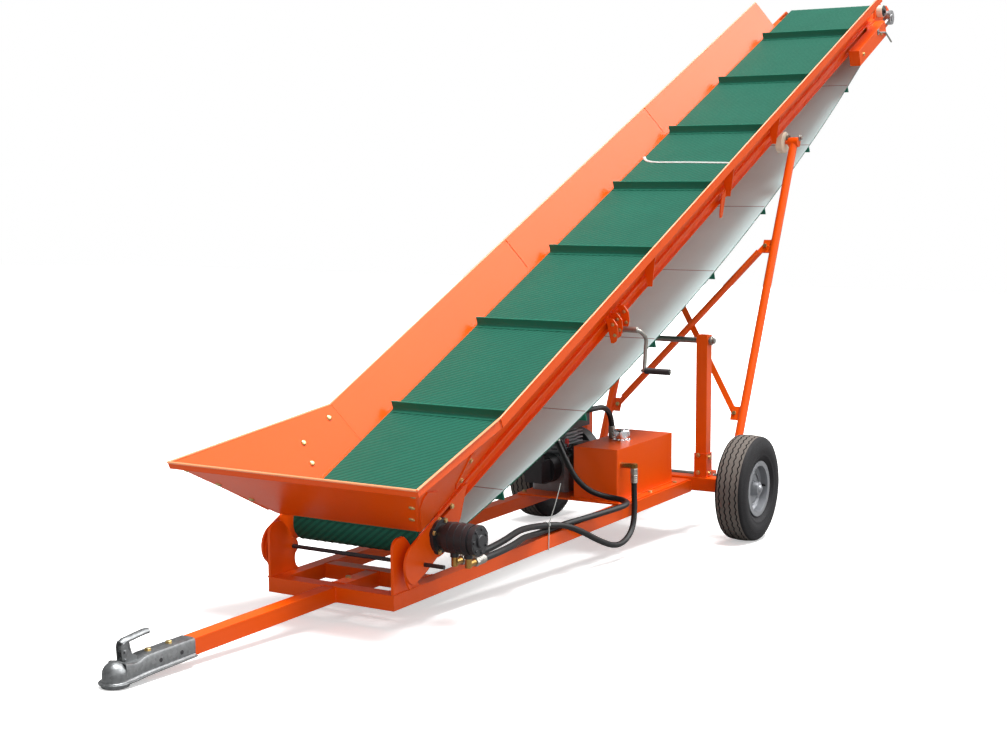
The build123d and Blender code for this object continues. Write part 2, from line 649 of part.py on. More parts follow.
# Gussets under the walls
outer_a, outer_b = wall_section[-2], wall_section[-3]
face_slope = (outer_b[1] - outer_a[1]) / (outer_b[0] - outer_a[0])


def wall_outer(y):
    """Height of the wall's outer face at a distance from the centre line."""
    return outer_a[1] + face_slope * (y - outer_a[0])


gusset_reach = WALL_TOP_OUT - 6.0
gusset_points = [
    (RAIL_OUTER, RAIL_BOTTOM + 2), (RAIL_OUTER, wall_outer(RAIL_OUTER)),
    (gusset_reach, wall_outer(gusset_reach)), (gusset_reach, wall_outer(gusset_reach) - 24),
    (RAIL_OUTER + 20, RAIL_BOTTOM + 2),
]
gusset_plates = [plate(cross(BOOM, x), gusset_points, 5.0) for x in GUSSETS]
with BuildPart() as gussets:
    for piece in gusset_plates:
        add(piece)
    mirror(about=Plane.XZ)
keep("gussets", gussets.part)

# End plates: the shaped tail leaves that hang on the pivot rod, and the plates at the head
plate_plane = side(BOOM, RAIL_OUTER + END_PLATE)
boss = rod(
    shifted(side(BOOM, RAIL_OUTER), PIVOT_ALONG, PIVOT_UP), 18.0, RAIL_OUTER - HALF_FRAME - 1.0,
    PIVOT_ROD / 2 + RUNNING,
)
with BuildPart() as tail_leaf:
    with BuildSketch(plate_plane):
        with BuildLine():
            Polyline((-85, RAIL_TOP), (216, RAIL_TOP), (131, -22), (66, -50))
            ThreePointArc((66, -50), (0, -68), (-40, -58))
            Polyline((-40, -58), (-110, -64), (-186, -60))
            ThreePointArc((-186, -60), (-208, 5), (-150, 60))
            Line((-150, 60), (-85, RAIL_TOP))
        make_face()
        Circle(DRUM_SHAFT / 2 + CLEARANCE, mode=Mode.SUBTRACT)
        with Locations((PIVOT_ALONG, PIVOT_UP)):
            Circle(PIVOT_ROD / 2 + RUNNING, mode=Mode.SUBTRACT)
        with Locations((62, 46)):
            SlotOverall(104, 15, mode=Mode.SUBTRACT)
    extrude(amount=END_PLATE)
    add(boss)
head = DRUM_SPACING
roller_bump = [(head - 55, RAIL_TOP), (head - 79, 112), (head - 171, 112), (head - 195, RAIL_TOP)]


def head_plate(plane, bump):
    """Plate that carries the head drum in a slot; a bump in its upper edge carries the guide roller."""
    with BuildPart() as sheet:
        with BuildSketch(plane):
            with BuildLine():
                Polyline(
                    (head - 325, RAIL_TOP), (head - 325, -32), (head - 300, -45), (head + 35, -45),
                    (head + 50, -30), (head + 50, 30), (head + 18, RAIL_TOP), *bump, close=True,
                )
            make_face()
            with Locations((head - 20, 0)):
                SlotOverall(96, DRUM_SHAFT + 1, mode=Mode.SUBTRACT)
        extrude(amount=END_PLATE)
    return sheet.part


head_far = head_plate(plate_plane, [])
head_near = head_plate(side(BOOM, -RAIL_OUTER), roller_bump)
with BuildPart() as end_plates:
    add(tail_leaf.part)
    mirror(about=Plane.XZ)
    add(head_far)
    add(head_near)
keep("end_plates", end_plates.part)

with BuildPart() as pivot_strips:
    with BuildSketch(shifted(side(BOOM, RAIL_OUTER), PIVOT_ALONG, PIVOT_UP)):
        with BuildLine():
            CenterArc((0, 0), 98, 120, 80)
            CenterArc((0, 0), 74, 120, 80)
            for end in (radians(120), radians(200)):
                Line((74 * cos(end), 74 * sin(end)), (98 * cos(end), 98 * sin(end)))
        make_face()
    extrude(amount=6.0)
    mirror(about=Plane.XZ)
keep("pivot_strips", pivot_strips.part)

# Drums with their shafts, bearings, and the oil motor that drives the tail drum
DRUM_HALF = BELT_WIDTH / 2 - 5.0
drum_skin = DRUM_RADIUS - CLEARANCE
plate_face = RAIL_OUTER + END_PLATE
tail_shaft = rod(side(BOOM, plate_face + 34), DRUM_SHAFT / 2, 2 * plate_face + 34)
tail_shell = rod(side(BOOM, DRUM_HALF), drum_skin, 2 * DRUM_HALF)
head_place = shifted(side(BOOM, plate_face + 34), DRUM_SPACING, 0)
head_shaft = rod(head_place, DRUM_SHAFT / 2, 2 * plate_face + 68)
head_shell = rod(shifted(side(BOOM, DRUM_HALF), DRUM_SPACING, 0), drum_skin, 2 * DRUM_HALF)
for name, shell, shaft in (("tail_drum", tail_shell, tail_shaft), ("head_drum", head_shell, head_shaft)):
    with BuildPart() as drum:
        add(shell)
        add(shaft)
    keep(name, drum.part)

bore = DRUM_SHAFT / 2 + CLEARANCE
tail_flange = rod(side(BOOM, plate_face + 12), 52.0, 12.0, bore)
tail_hub = rod(side(BOOM, plate_face + 30), 34.0, 19.0, bore)
take_up_screw = rod(shifted(cross(BOOM, head - 285), plate_face + 15, 0), 8.0, 263.0)
head_ring = rod(shifted(side(BOOM, plate_face + 30), DRUM_SPACING, 0), 38.0, 30.0, bore)
with BuildPart() as head_bearing:
    add(head_ring)
    add(take_up_screw)
with BuildPart() as bearings:
    add(head_bearing.part)
    mirror(about=Plane.XZ)
    add(tail_flange)
    add(tail_hub)
keep("bearings", bearings.part)

with BuildPart() as take_up_boxes:
    with BuildSketch(shifted(cross(BOOM, head - 645), plate_face + 27.5, 10)):
        Rectangle(55, 80)
        Rectangle(47, 72, mode=Mode.SUBTRACT)
    extrude(amount=450.0)
    with BuildSketch(shifted(cross(BOOM, head - 645), plate_face + 27.5, 10)):
        Rectangle(55, 80)
    extrude(amount=4.0)
    with BuildSketch(shifted(cross(BOOM, head - 201), plate_face + 27.5, 10)):
        Rectangle(55, 80)
        with Locations((-12.5, -10)):
            Circle(8.0 + CLEARANCE, mode=Mode.SUBTRACT)
    extrude(amount=6.0)
    mirror(about=Plane.XZ)
keep("take_up_boxes", take_up_boxes.part)

GUIDE = (head - 125.0, 80.0)
keep("head_roller", rod(shifted(side(BOOM, -plate_face), *GUIDE), 32.0, 30.0))
keep("roller_cap", rod(shifted(side(BOOM, -plate_face - 30), *GUIDE), 29.0, 4.0))

MOTOR_PORTS = (plate_face + 58.0, plate_face + 110.0)
port_face = (BOOM * Location((0, 0, 0))).position.Z - 62.0
motor_stages = ((plate_face, 12.0, 55.0), (plate_face + 12, 26.0, 40.0), (plate_face + 38, 92.0, 50.0),
                (plate_face + 130, 8.0, 44.0), (plate_face + 138, 16.0, 50.0))
motor_rings = [rod(side(BOOM, -start), radius, length) for start, length, radius in motor_stages]
with BuildPart() as motor:
    for ring in motor_rings:
        add(ring)
    with Locations(*[(TAIL_X, -y, port_face) for y in MOTOR_PORTS]):
        Cylinder(14.0, 40.0, align=(Align.CENTER, Align.CENTER, Align.MIN))
keep("motor", motor.part)
with BuildPart() as motor_fittings:
    for y in MOTOR_PORTS:
        with Locations((TAIL_X, -y, port_face - 30)):
            Cylinder(FITTING, 30.0, align=(Align.CENTER, Align.CENTER, Align.MIN))
        with Locations(Location((TAIL_X, -y, port_face - 19), (0, 90, 0))):
            Cylinder(FITTING, 53.0, align=(Align.CENTER, Align.CENTER, Align.MIN))
keep("motor_fittings", motor_fittings.part)

# Belt: one closed loop round both drums, its lower run hanging in a shallow arc, with T-shaped cleats
sag_centre = (DRUM_SPACING ** 2 / 4 - BELT_SAG ** 2) / (2 * BELT_SAG)
sag_radius = sag_centre + BELT_RADIUS + BELT_SAG
hang = atan2(DRUM_SPACING / 2, sag_centre)


def loop_face(radius):
    """Face inside the belt's path at a radius round the drums."""
    drop, reach = radius * cos(hang), radius * sin(hang)
    head = (DRUM_SPACING + reach, -drop)
    tail = (-reach, -drop)
    bottom = (DRUM_SPACING / 2, -BELT_SAG - radius)
    with BuildSketch() as face:
        with BuildLine():
            Line((0, radius), (DRUM_SPACING, radius))
            ThreePointArc((DRUM_SPACING, radius), (DRUM_SPACING + radius, 0), head)
            ThreePointArc(head, bottom, tail)
            ThreePointArc(tail, (-radius, 0), (0, radius))
        make_face()
    return face.sketch


wrap = BELT_RADIUS * (pi - hang)
lower_run = 2 * hang * sag_radius
LOOP_LENGTH = DRUM_SPACING + 2 * wrap + lower_run


def on_loop(way):
    """Point on the belt's outer face after some way along the loop, and the angle of its outward normal."""
    way = way % LOOP_LENGTH
    if way <= DRUM_SPACING:
        return way, BELT_RADIUS, 90.0
    way -= DRUM_SPACING
    if way <= wrap:
        angle = pi / 2 - way / BELT_RADIUS
        return DRUM_SPACING + BELT_RADIUS * cos(angle), BELT_RADIUS * sin(angle), degrees(angle)
    way -= wrap
    if way <= lower_run:
        angle = hang - pi / 2 - way / sag_radius
        low = sag_centre + sag_radius * sin(angle)
        return DRUM_SPACING / 2 + sag_radius * cos(angle), low, degrees(angle)
    angle = -pi / 2 - hang - (way - lower_run) / BELT_RADIUS
    return BELT_RADIUS * cos(angle), BELT_RADIUS * sin(angle), degrees(angle)


CLEAT_PLACES = [on_loop(CLEAT_FIRST + i * LOOP_LENGTH / CLEAT_COUNT) for i in range(CLEAT_COUNT)]
half_foot, half_web = CLEAT_FOOT / 2, CLEAT_WEB / 2
cleat_outline = [
    (-half_foot, -4), (half_foot, -4), (half_foot, 2), (half_web + 3, 4.5), (half_web, 9),
    (half_web, CLEAT_HEIGHT), (-half_web, CLEAT_HEIGHT), (-half_web, 9), (-half_web - 3, 4.5),
    (-half_foot, 2),
]
belt_outer = loop_face(BELT_RADIUS)
belt_inner = loop_face(DRUM_RADIUS)
with BuildPart() as belt:
    with BuildSketch(side(BOOM, BELT_WIDTH / 2)):
        add(belt_outer)
        add(belt_inner, mode=Mode.SUBTRACT)
    extrude(amount=BELT_WIDTH)
    with BuildSketch(side(BOOM, CLEAT_LENGTH / 2)):
        for along, up, normal in CLEAT_PLACES:
            with Locations(Location((along, up, 0), (0, 0, normal - 90))):
                Polygon(*cleat_outline, align=None)
    extrude(amount=CLEAT_LENGTH)
keep("belt", belt.part)

# Winch crank: brackets on the rails, a shaft across the trough, and the hand crank
bracket_points = [
    (CRANK_ALONG - 40, RAIL_TOP), (CRANK_ALONG + 40, RAIL_TOP), (CRANK_ALONG + 40, 10),
    (CRANK_ALONG + 18, CRANK_UP - 25), (CRANK_ALONG - 18, CRANK_UP - 25), (CRANK_ALONG - 40, 10),
]
crank_hole = CRANK_SHAFT / 2 + RUNNING
with BuildPart() as winch_brackets:
    with BuildSketch(plate_plane):
        with BuildLine():
            Polyline(*bracket_points, close=True)
        make_face()
        with Locations((CRANK_ALONG, CRANK_UP)):
            Circle(crank_hole, mode=Mode.SUBTRACT)
    extrude(amount=END_PLATE)
    with BuildSketch(shifted(side(BOOM, plate_face + 18), CRANK_ALONG, CRANK_UP)):
        Circle(16.0)
        Circle(crank_hole, mode=Mode.SUBTRACT)
    extrude(amount=18.0)
    mirror(about=Plane.XZ)
keep("winch_brackets", winch_brackets.part)

CRANK_HANG = -100.0  # direction of the arm in the trough's frame
crank_line = shifted(side(BOOM, plate_face + 24), CRANK_ALONG, CRANK_UP)
crank_shaft = rod(crank_line, CRANK_SHAFT / 2, plate_face + 24 + CRANK_OUT)
arm_start = shifted(side(BOOM, -CRANK_OUT + 10), CRANK_ALONG, CRANK_UP)
arm_plane = Plane(arm_start.location * Rotation(0, 0, CRANK_HANG))
grip_pin = rod(shifted(arm_plane, CRANK_ARM, 0), 6.0, 10.0 + GRIP_LENGTH + 4)
with BuildPart() as crank:
    add(crank_shaft)
    with BuildSketch(arm_plane):
        with Locations((CRANK_ARM / 2, 0)):
            SlotOverall(CRANK_ARM + 28, 28)
    extrude(amount=10.0)
    add(grip_pin)
keep("crank", crank.part)
grip_plane = Plane(arm_plane.location * Location((CRANK_ARM, 0, 10)))
with BuildPart() as crank_grip:
    with BuildSketch(grip_plane):
        Circle(GRIP_DIAMETER / 2)
        Circle(6.0 + CLEARANCE, mode=Mode.SUBTRACT)
    extrude(amount=GRIP_LENGTH)
keep("crank_grip", crank_grip.part)

# Lifting legs: tubes hinged on the shaft, sleeves at both ends, roller axles and crossed braces
leg_line = shifted(flat(LEGS, 0), 0, LEG_OUT)
leg_tube = rod(leg_line, LEG_TUBE / 2, LEG_LENGTH)
foot_sleeve = rod(side(LEGS, LEG_OUT + 30), 24.0, 60.0)
head_sleeve = rod(shifted(side(LEGS, LEG_OUT + 24), 0, 0), 23.0, 48.0)
axle_reach = LEG_OUT + 24 - ROLLER_OUT + ROLLER_WIDTH / 2 + 5
roller_axle = rod(side(LEGS, LEG_OUT + 24), ROLLER_AXLE / 2, axle_reach)
to_roller = Plane(LEGS * Location((0, 0, LEG_LENGTH))).location * LEGS.inverse()
LUG = 6.0
with BuildPart() as legs:
    add(leg_tube)
    add(foot_sleeve)
    add(to_roller * head_sleeve)
    add(to_roller * roller_axle)
    for level in BRACE_LEVELS:
        with BuildSketch(cross(LEGS, -LUG / 2)):
            with Locations((LEG_OUT - 34, level)):
                Rectangle(44, 64)
        extrude(amount=LUG)
    with BuildSketch(side(LEGS, LEG_OUT + 31)):
        Circle(LEG_SHAFT / 2 + RUNNING)
    extrude(amount=62.0, mode=Mode.SUBTRACT)
    mirror(about=Plane.XZ)
keep("legs", legs.part)

lug_y = LEG_OUT - 42.0
brace_rise = BRACE_LEVELS[1] - BRACE_LEVELS[0]
brace_length = hypot(2 * lug_y, brace_rise)
brace_turn = degrees(atan2(brace_rise, 2 * lug_y))


def brace(rising):
    """Crossed tube with flat ends, on one face of the lugs."""
    centre = LEGS * Location((0, 0, sum(BRACE_LEVELS) / 2))
    turned = centre * Rotation(brace_turn if rising else -brace_turn, 0, 0)
    face = LUG / 2 if rising else -LUG / 2 - 6
    tube_x = LUG / 2 + BRACE_TUBE / 2 if rising else -LUG / 2 - BRACE_TUBE / 2
    with BuildPart() as bar:
        with BuildSketch(Plane(turned * Plane.YZ.offset(face).location)):
            SlotOverall(brace_length + 26, 26)
        extrude(amount=6.0)
        with BuildSketch(Plane(turned * Location((tube_x, -brace_length / 2 + 40, 0), (-90, 0, 0)))):
            Circle(BRACE_TUBE / 2)
        extrude(amount=brace_length - 80)
    return bar.part


brace_a, brace_b = brace(True), brace(False)
with BuildPart() as leg_braces:
    add(brace_a)
    add(brace_b)
keep("leg_braces", leg_braces.part)

for roller_side, roller_y in (("near", -ROLLER_OUT), ("far", ROLLER_OUT)):
    with BuildPart() as roller:
        with BuildSketch(side(LEGS, roller_y + ROLLER_WIDTH / 2)):
            Circle(ROLLER_DIAMETER / 2)
            Circle(ROLLER_AXLE / 2 + RUNNING, mode=Mode.SUBTRACT)
        extrude(amount=ROLLER_WIDTH)
        chamfer(roller.edges().filter_by(GeomType.CIRCLE).filter_by(lambda e: e.radius > 40), length=3.0)
    keep(f"roller_{roller_side}", to_roller * roller.part)


# Hoses: one round section swept along straight runs with arcs between them
def hose(points):
    """Hose through the points; each arc takes 0.45 of the shorter run beside it."""
    radii = []
    for before, at_point, after in zip(points[:-2], points[1:-1], points[2:]):
        first, second = Vector(at_point) - Vector(before), Vector(after) - Vector(at_point)
        half_turn = radians(first.get_angle(second)) / 2
        shorter = min(first.length, second.length)
        radii.append(0.45 * shorter * cos(half_turn) / max(0.001, sin(half_turn)))
    with BuildPart() as swept:
        with BuildLine() as path:
            FilletPolyline(*points, radius=radii)
        with BuildSketch(Plane(origin=points[0], z_dir=path.line % 0)):
            Circle(HOSE_DIAMETER / 2)
        sweep()
    return swept.part


start_x, start_z = TAIL_X + 53.0, port_face - 19
tie_x = 985.0
near = -HALF_FRAME
HOSES = {
    "hose_pressure": [
        (start_x, -MOTOR_PORTS[1], start_z), (385, -MOTOR_PORTS[1], start_z), (560, near - 110, 306),
        (720, near - 50, 290), (860, near, 265), (tie_x, near + 19, 252.5), (1140, near + 18, 252.5),
        (1300, near - 8, 254), (1420, near - 41, 262), (1508, near - 56, 266), (1561, near - 35, 267),
        (1594, near + 12, 268), (1596, near + 69, 270), (1561, near + 130, 292), (1535, -72, 340),
        (1530, -35, 400), (1535, 5, 465), (1545, 40, 520),
    ],
    "hose_return": [
        (start_x, -MOTOR_PORTS[0], start_z), (385, -MOTOR_PORTS[0], start_z), (560, near - 72, 316),
        (720, near - 30, 314), (860, near + 1, 296), (tie_x, near + 10, 278), (1090, near - 8, 262),
        (1190, near - 26, 222), (1320, near - 32, 160), (1450, near - 32, 112), (1545, near - 30, 108),
        (1622, near - 28, 145), (1656, near - 20, 215), (side_fitting[0], elbow_y, 300),
        (side_fitting[0], elbow_y, side_fitting[2] - 26),
    ],
    "hose_suction": [
        (*top_fitting[:2], tank_top + STUB), (*top_fitting[:2], 524), (1858, top_fitting[1], 571),
        (1810, top_fitting[1] + 1, 598), (1740, top_fitting[1] + 4, 600), (1675, -18, 594), (1638, 35, 590),
        (1630, 85, 586), (1626, 132, 560), (*pump_fitting[:2], 513),
        (*pump_fitting[:2], pump_fitting[2] + STUB),
    ],
}
for name, points in HOSES.items():
    keep(name, hose(points))

# Stance: parked, the machine is tipped about its axle until the coupler's nose rests on the ground
run = AXLE_X - (BALL_X - CUP_RADIUS)
drop = AXLE_Z - COUPLER_BOTTOM
PITCH = degrees(asin(AXLE_Z / hypot(run, drop)) - atan2(drop, run))
tipped = Location((AXLE_X, 0, AXLE_Z), (0, -PITCH, 0)) * Location((-AXLE_X, 0, -AXLE_Z))
boxes = [(tipped * part).bounding_box() for part in parts.values()]
low_x, high_x = min(b.min.X for b in boxes), max(b.max.X for b in boxes)
low_z = min(b.min.Z for b in boxes)
STANCE = Location((-(low_x + high_x) / 2, 0, -low_z)) * tipped

if __name__ == "__main__":
    os.makedirs("parts", exist_ok=True)
    for name, part in parts.items():
        export_step(STANCE * part, f"parts/{name}.step")
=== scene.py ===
"""Detail of a towed belt conveyor for firewood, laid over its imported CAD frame: finishes, the ribbed belt,
treaded tyres, hoses, fasteners, welds, fittings and a plain stage."""

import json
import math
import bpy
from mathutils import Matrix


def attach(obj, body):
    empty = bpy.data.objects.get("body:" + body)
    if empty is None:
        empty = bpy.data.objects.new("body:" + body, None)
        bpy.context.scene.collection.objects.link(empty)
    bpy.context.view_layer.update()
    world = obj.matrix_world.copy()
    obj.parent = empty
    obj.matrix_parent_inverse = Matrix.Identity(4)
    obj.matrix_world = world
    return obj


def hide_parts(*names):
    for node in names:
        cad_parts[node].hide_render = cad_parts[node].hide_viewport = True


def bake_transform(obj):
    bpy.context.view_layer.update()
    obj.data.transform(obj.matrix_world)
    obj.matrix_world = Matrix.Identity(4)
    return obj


bl_info = {
    "name": "Firewood conveyor detail",
    "version": (1, 0, 0),
    "blender": (4, 5, 0),
    "location": "3D View > Sidebar > Conveyor",
    "description": "Adds finishes, belt, tyres, hoses and hardware to the packed conveyor",
    "category": "Object",
}

from typing import NamedTuple

import bmesh
import bpy
from mathutils import Matrix, Vector

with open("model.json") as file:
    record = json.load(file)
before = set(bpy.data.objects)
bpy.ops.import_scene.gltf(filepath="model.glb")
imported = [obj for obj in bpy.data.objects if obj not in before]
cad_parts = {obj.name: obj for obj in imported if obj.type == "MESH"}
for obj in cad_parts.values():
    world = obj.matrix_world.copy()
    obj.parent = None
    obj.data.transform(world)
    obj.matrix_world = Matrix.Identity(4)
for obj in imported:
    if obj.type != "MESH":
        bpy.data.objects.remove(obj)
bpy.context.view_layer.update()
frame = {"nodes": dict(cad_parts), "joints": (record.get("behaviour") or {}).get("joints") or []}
NODES = frame["nodes"]
JOINTS = {joint["name"]: Vector(joint["pos_m"]) for joint in frame["joints"]}

# Frames: each takes millimetres in a group's own axes to metres in the stored frame
MM = 0.001
STORED = Matrix.Scale(MM, 4)
PITCH = math.radians(3.0964944)  # the machine leans forward onto its coupler
BOOM_ANGLE = math.radians(24.07)
TAIL_AXIS = (205.0, 0.0, 397.0)
AXLE_LEVEL = Vector((2275.0, 0.0, 225.0))
AXLE_STORED = Vector((JOINTS["wheel_near_spin"].x, 0.0, JOINTS["wheel_near_spin"].z))
STAND = Matrix.Translation(AXLE_STORED) @ Matrix.Rotation(-PITCH, 4, "Y") @ STORED
LEVEL = STAND @ Matrix.Translation(-AXLE_LEVEL)
BOOM = LEVEL @ Matrix.Translation(TAIL_AXIS) @ Matrix.Rotation(-BOOM_ANGLE, 4, "Y")
LEG_HINGE = JOINTS["leg_swing"]
LEG_RISE = JOINTS["roller_near_spin"] - LEG_HINGE
LEG_LEAN = math.atan2(LEG_RISE.x, LEG_RISE.z)
LEGS = Matrix.Translation(LEG_HINGE) @ Matrix.Rotation(LEG_LEAN, 4, "Y") @ STORED
FRAMES = {"boom": BOOM, "crank": BOOM, "chassis": LEVEL, "legs": LEGS}  # by body

# Directions
SIDES = (-1, 1)  # near, far
OUT, FAR_OUT, UP = (0, -1, 0), (0, 1, 0), (0, 0, 1)
AHEAD, BACK = (-1, 0, 0), (1, 0, 0)
ALONG = Matrix.Rotation(math.pi / 2, 4, "Y")  # turns a piece's Z along the machine


def outward(side):
    """Turn that points a piece's Z out to a side."""
    return Matrix.Rotation(-side * math.pi / 2, 4, "X")


NEAR = outward(-1)

# Belt and its loop, in millimetres in the trough's frame
DRUM_SPACING = 4885.0
BELT_RADIUS = 70.0
BELT_THICKNESS = 5.0
BELT_SAG = 190.0
BELT_HALF = 250.0
BELT_COLUMNS = 16
CLEAT_COUNT = 16
CLEAT_FIRST = 600.0
CLEAT_HALF = 245.0
CLEAT_FLANK = [(22, -1), (22, 1.6), (8.5, 3.6), (5, 6.5), (3.5, 11), (3.3, 33.5), (2, 35)]
SPLICE = [
    (2866, 250), (2840, 236), (2821, 216), (2809, 190), (2803, 150), (2800, 0), (2789, -218), (2788, -250),
]
SPLICE_UP = 71.0
SAG_CENTRE = (DRUM_SPACING ** 2 / 4 - BELT_SAG ** 2) / (2 * BELT_SAG)
SAG_RADIUS = SAG_CENTRE + BELT_RADIUS + BELT_SAG
HANG = math.atan2(DRUM_SPACING / 2, SAG_CENTRE)
WRAP = BELT_RADIUS * (math.pi - HANG)
LOWER_RUN = 2 * HANG * SAG_RADIUS
LOOP = DRUM_SPACING + 2 * WRAP + LOWER_RUN

# Trough
PLATE_OUT = 288.0  # outer face of the trough's end plates
FOLD = Vector((394.7, 262.0, 63.5))  # hopper side: foot and brow at the seam, then the high front corner
BROW = Vector((394.7, 348.0, 205.5))
CORNER = Vector((-281.0, 483.0, 384.0))
THROAT = Vector((-82.0, 276.0, 74.0))
WALL_TOP = (351.0, 206.0)  # out and up
WALL_HEAD = 4649.0
WALL_SEAMS = (1715.0, 3140.0)  # where the wall's panels meet, along the trough
# Plates on the hopper's near side: the bracket at the seam, then the doubler at the front corner
HOPPER_PLATES = (
    [(382, -350, 206), (182, -352, 200), (132, -300, 112), (146, -283, 84), (196, -286, 92), (214, -322, 150),
     (372, -322, 158)],
    [(-70, -382, 231), (-176, -428, 306), (-200, -424, 296), (-196, -400, 258), (-100, -302, 98),
     (-36, -290, 80), (-25, -306, 108), (-9, -330, 150)],
)
MOTOR_END = 443.0  # how far out the oil motor's cover ends
WINCH_FINS = (1308, 1350, 1412)
CRANK_AXIS = 1380.0
HEAD_ROLLER = (4760.0, 0.0, 80.0)
TAKE_UP = (4690.0, 4770.0)  # ends of the tensioning screws
TAKE_UP_OUT = 303.0

# Wheels: (out, radius) of the tyre's wall from the bead to the tread
TYRE_WALL = [
    (47.5, 102), (47.5, 121.8), (55.5, 131.8), (60, 139), (61.8, 141), (62.8, 144), (62.6, 147), (64.6, 154),
    (66.4, 161), (67.5, 170), (67.2, 180), (65.6, 190), (63.0, 198), (60.4, 205), (58.6, 211), (55.6, 216.6),
    (51.5, 219.6), (47.5, 221),
]
TYRE_RADIUS = 225.0
TREAD_HALF = 47.5
TREAD_DROP = 4.0  # how much lower the tread's edges are than its middle
GROOVES = (-36, -12, 12, 36)
GROOVE_TOP, GROOVE_FOOT, GROOVE_DEPTH = 2.7, 1.7, 6.0  # half widths, then the depth
WHEEL_OUT = 497.0
HUB_FACE = 53.5

# Chassis and legs
POST_OUT = 288.0
POST_HALF = 29.0
LUG_OUT = 290.0
BRACE_LEVELS = (300.0, 1110.0)
ENGINE_FACE = (1957, 150, 376)
FILLER_CAP = (1855, -110, 457)
BALL = (-957, 0, 0)
LEG_SHAFT, REST_SHAFT = (2487, 0, 215), (2280, 0, 843)

# Hose routes, in the level frame
HOSE_RADIUS = 11.5
HOSES = {
    "hose_pressure": [
        (258, -398, 316), (385, -398, 316), (560, -360, 306), (720, -300, 290), (860, -250, 265),
        (985, -231, 252.5), (1140, -232, 252.5), (1300, -258, 254), (1420, -291, 262), (1508, -306, 266),
        (1561, -285, 267), (1594, -238, 268), (1596, -181, 270), (1561, -120, 292), (1535, -72, 340),
        (1530, -35, 400), (1535, 5, 465), (1545, 40, 520),
    ],
    "hose_return": [
        (258, -346, 316), (385, -346, 316), (560, -322, 316), (720, -280, 314), (860, -249, 296),
        (985, -240, 278), (1090, -258, 262), (1190, -276, 222), (1320, -282, 160), (1450, -282, 112),
        (1545, -280, 108), (1622, -278, 145), (1656, -270, 215), (1665, -262, 300), (1665, -262, 366),
    ],
    "hose_suction": [
        (1885, -50, 469), (1885, -50, 524), (1858, -50, 571), (1810, -49, 598), (1740, -46, 600),
        (1675, -18, 594), (1638, 35, 590), (1630, 85, 586), (1626, 132, 560), (1625, 160, 513),
        (1625, 160, 403),
    ],
}
HOSE_ENDS = {
    "hose_pressure": ("boom", "chassis"), "hose_return": ("boom", "chassis"),
    "hose_suction": ("chassis", "chassis"),
}
TIE_AT = (985.0, -235.0, 265.0)

# Stage: the glossy patch that the far wall mirrors, the lights, and the camera fitted to the photo
PATCH_WAY = (0.45, -0.62, 0.64)
PATCH = {"From Min": 0.80, "From Max": 0.96, "To Min": 0.26, "To Max": 7.6}
SOFT_LIGHT = 0.55
LIGHTS = (  # name, direction, power, angle across
    ("key light", (0.02, 0.16, -1.0), 5.6, 30), ("fill light", (0.62, 0.70, -0.15), 0.9, 60),
)
FLOOR_HALF, FLOOR_DOWN = 60, -0.0005
FLOOR_BOUNCE = "#8C8C8C"  # floor colour that the machine sees
FLOOR_GLOW = 0.45
PHOTO_WIDTH = 1007
PHOTO_CENTRE = (503.5, 378.0)
OPTICAL_CENTRE = (503.85, 374.12)
FOCAL_PIXELS = 1609.39
SENSOR = 36.0
CAMERA_AT = (-4034.25, -3076.27, 1537.15)
CAMERA_TURN = (30.96, -6.95, 0.27)  # yaw, pitch and roll in degrees


def linear(code):
    """Linear RGB of an sRGB hex code."""
    parts = [int(code[i:i + 2], 16) / 255 for i in (1, 3, 5)]
    return tuple(p / 12.92 if p <= 0.04045 else ((p + 0.055) / 1.055) ** 2.4 for p in parts)


def length(label, description, default, low=0.0):
    """Setting for a length in metres."""
    return bpy.props.FloatProperty(
        name=label, description=description, default=default, min=low, unit="LENGTH"
    )


def colour(label, description, code):
    """Setting for a colour."""
    return bpy.props.FloatVectorProperty(
        name=label, description=description, default=linear(code), subtype="COLOR", min=0, max=1
    )


class ConveyorSizes(bpy.types.PropertyGroup):
    """Sizes of the detail that a user would change."""

    rib_pitch: length("Rib pitch", "Distance between the belt's ribs, along the belt", 0.0245, 0.008)
    rib_depth: length("Rib depth", "Depth of the grooves between the ribs", 0.0007)
    rib_slant: bpy.props.FloatProperty(
        name="Rib slant", description="How far a rib runs back along the belt over its width", default=0.785,
    )
    tread_waves: bpy.props.IntProperty(
        name="Tread waves", description="Zigzags of each tread groove round the tyre", default=44, min=8,
    )
    tread_swing: length("Tread swing", "How far a groove swings to each side", 0.0030)
    bead_spacing: length("Weld bead spacing", "Distance between the ripples of a weld", 0.006, 0.002)
    hem_radius: length("Hem radius", "Radius of the rolled hem round the hopper's rim", 0.0040, 0.001)


class ConveyorColours(bpy.types.PropertyGroup):
    """Colours of the finishes and the stage."""

    paint: colour("Paint", "Orange of the frame, trough and tank", "#EA5404")
    belt: colour("Belt", "Green of the belt's cover", "#1A5C4A")
    # The fabric's grey is lightened and tinted cyan: painted light that offsets the shade under the upper run
    # and the orange light bounced from the trough
    fabric: colour("Fabric", "Grey of the belt's inner side", "#D2F2F3")
    tyre: colour("Tyre", "Black of the tyres", "#121113")
    rim: colour("Rim", "Silver of the wheel rims", "#888A8E")
    floor: colour("Floor", "Pale floor and background", "#F6F6F6")


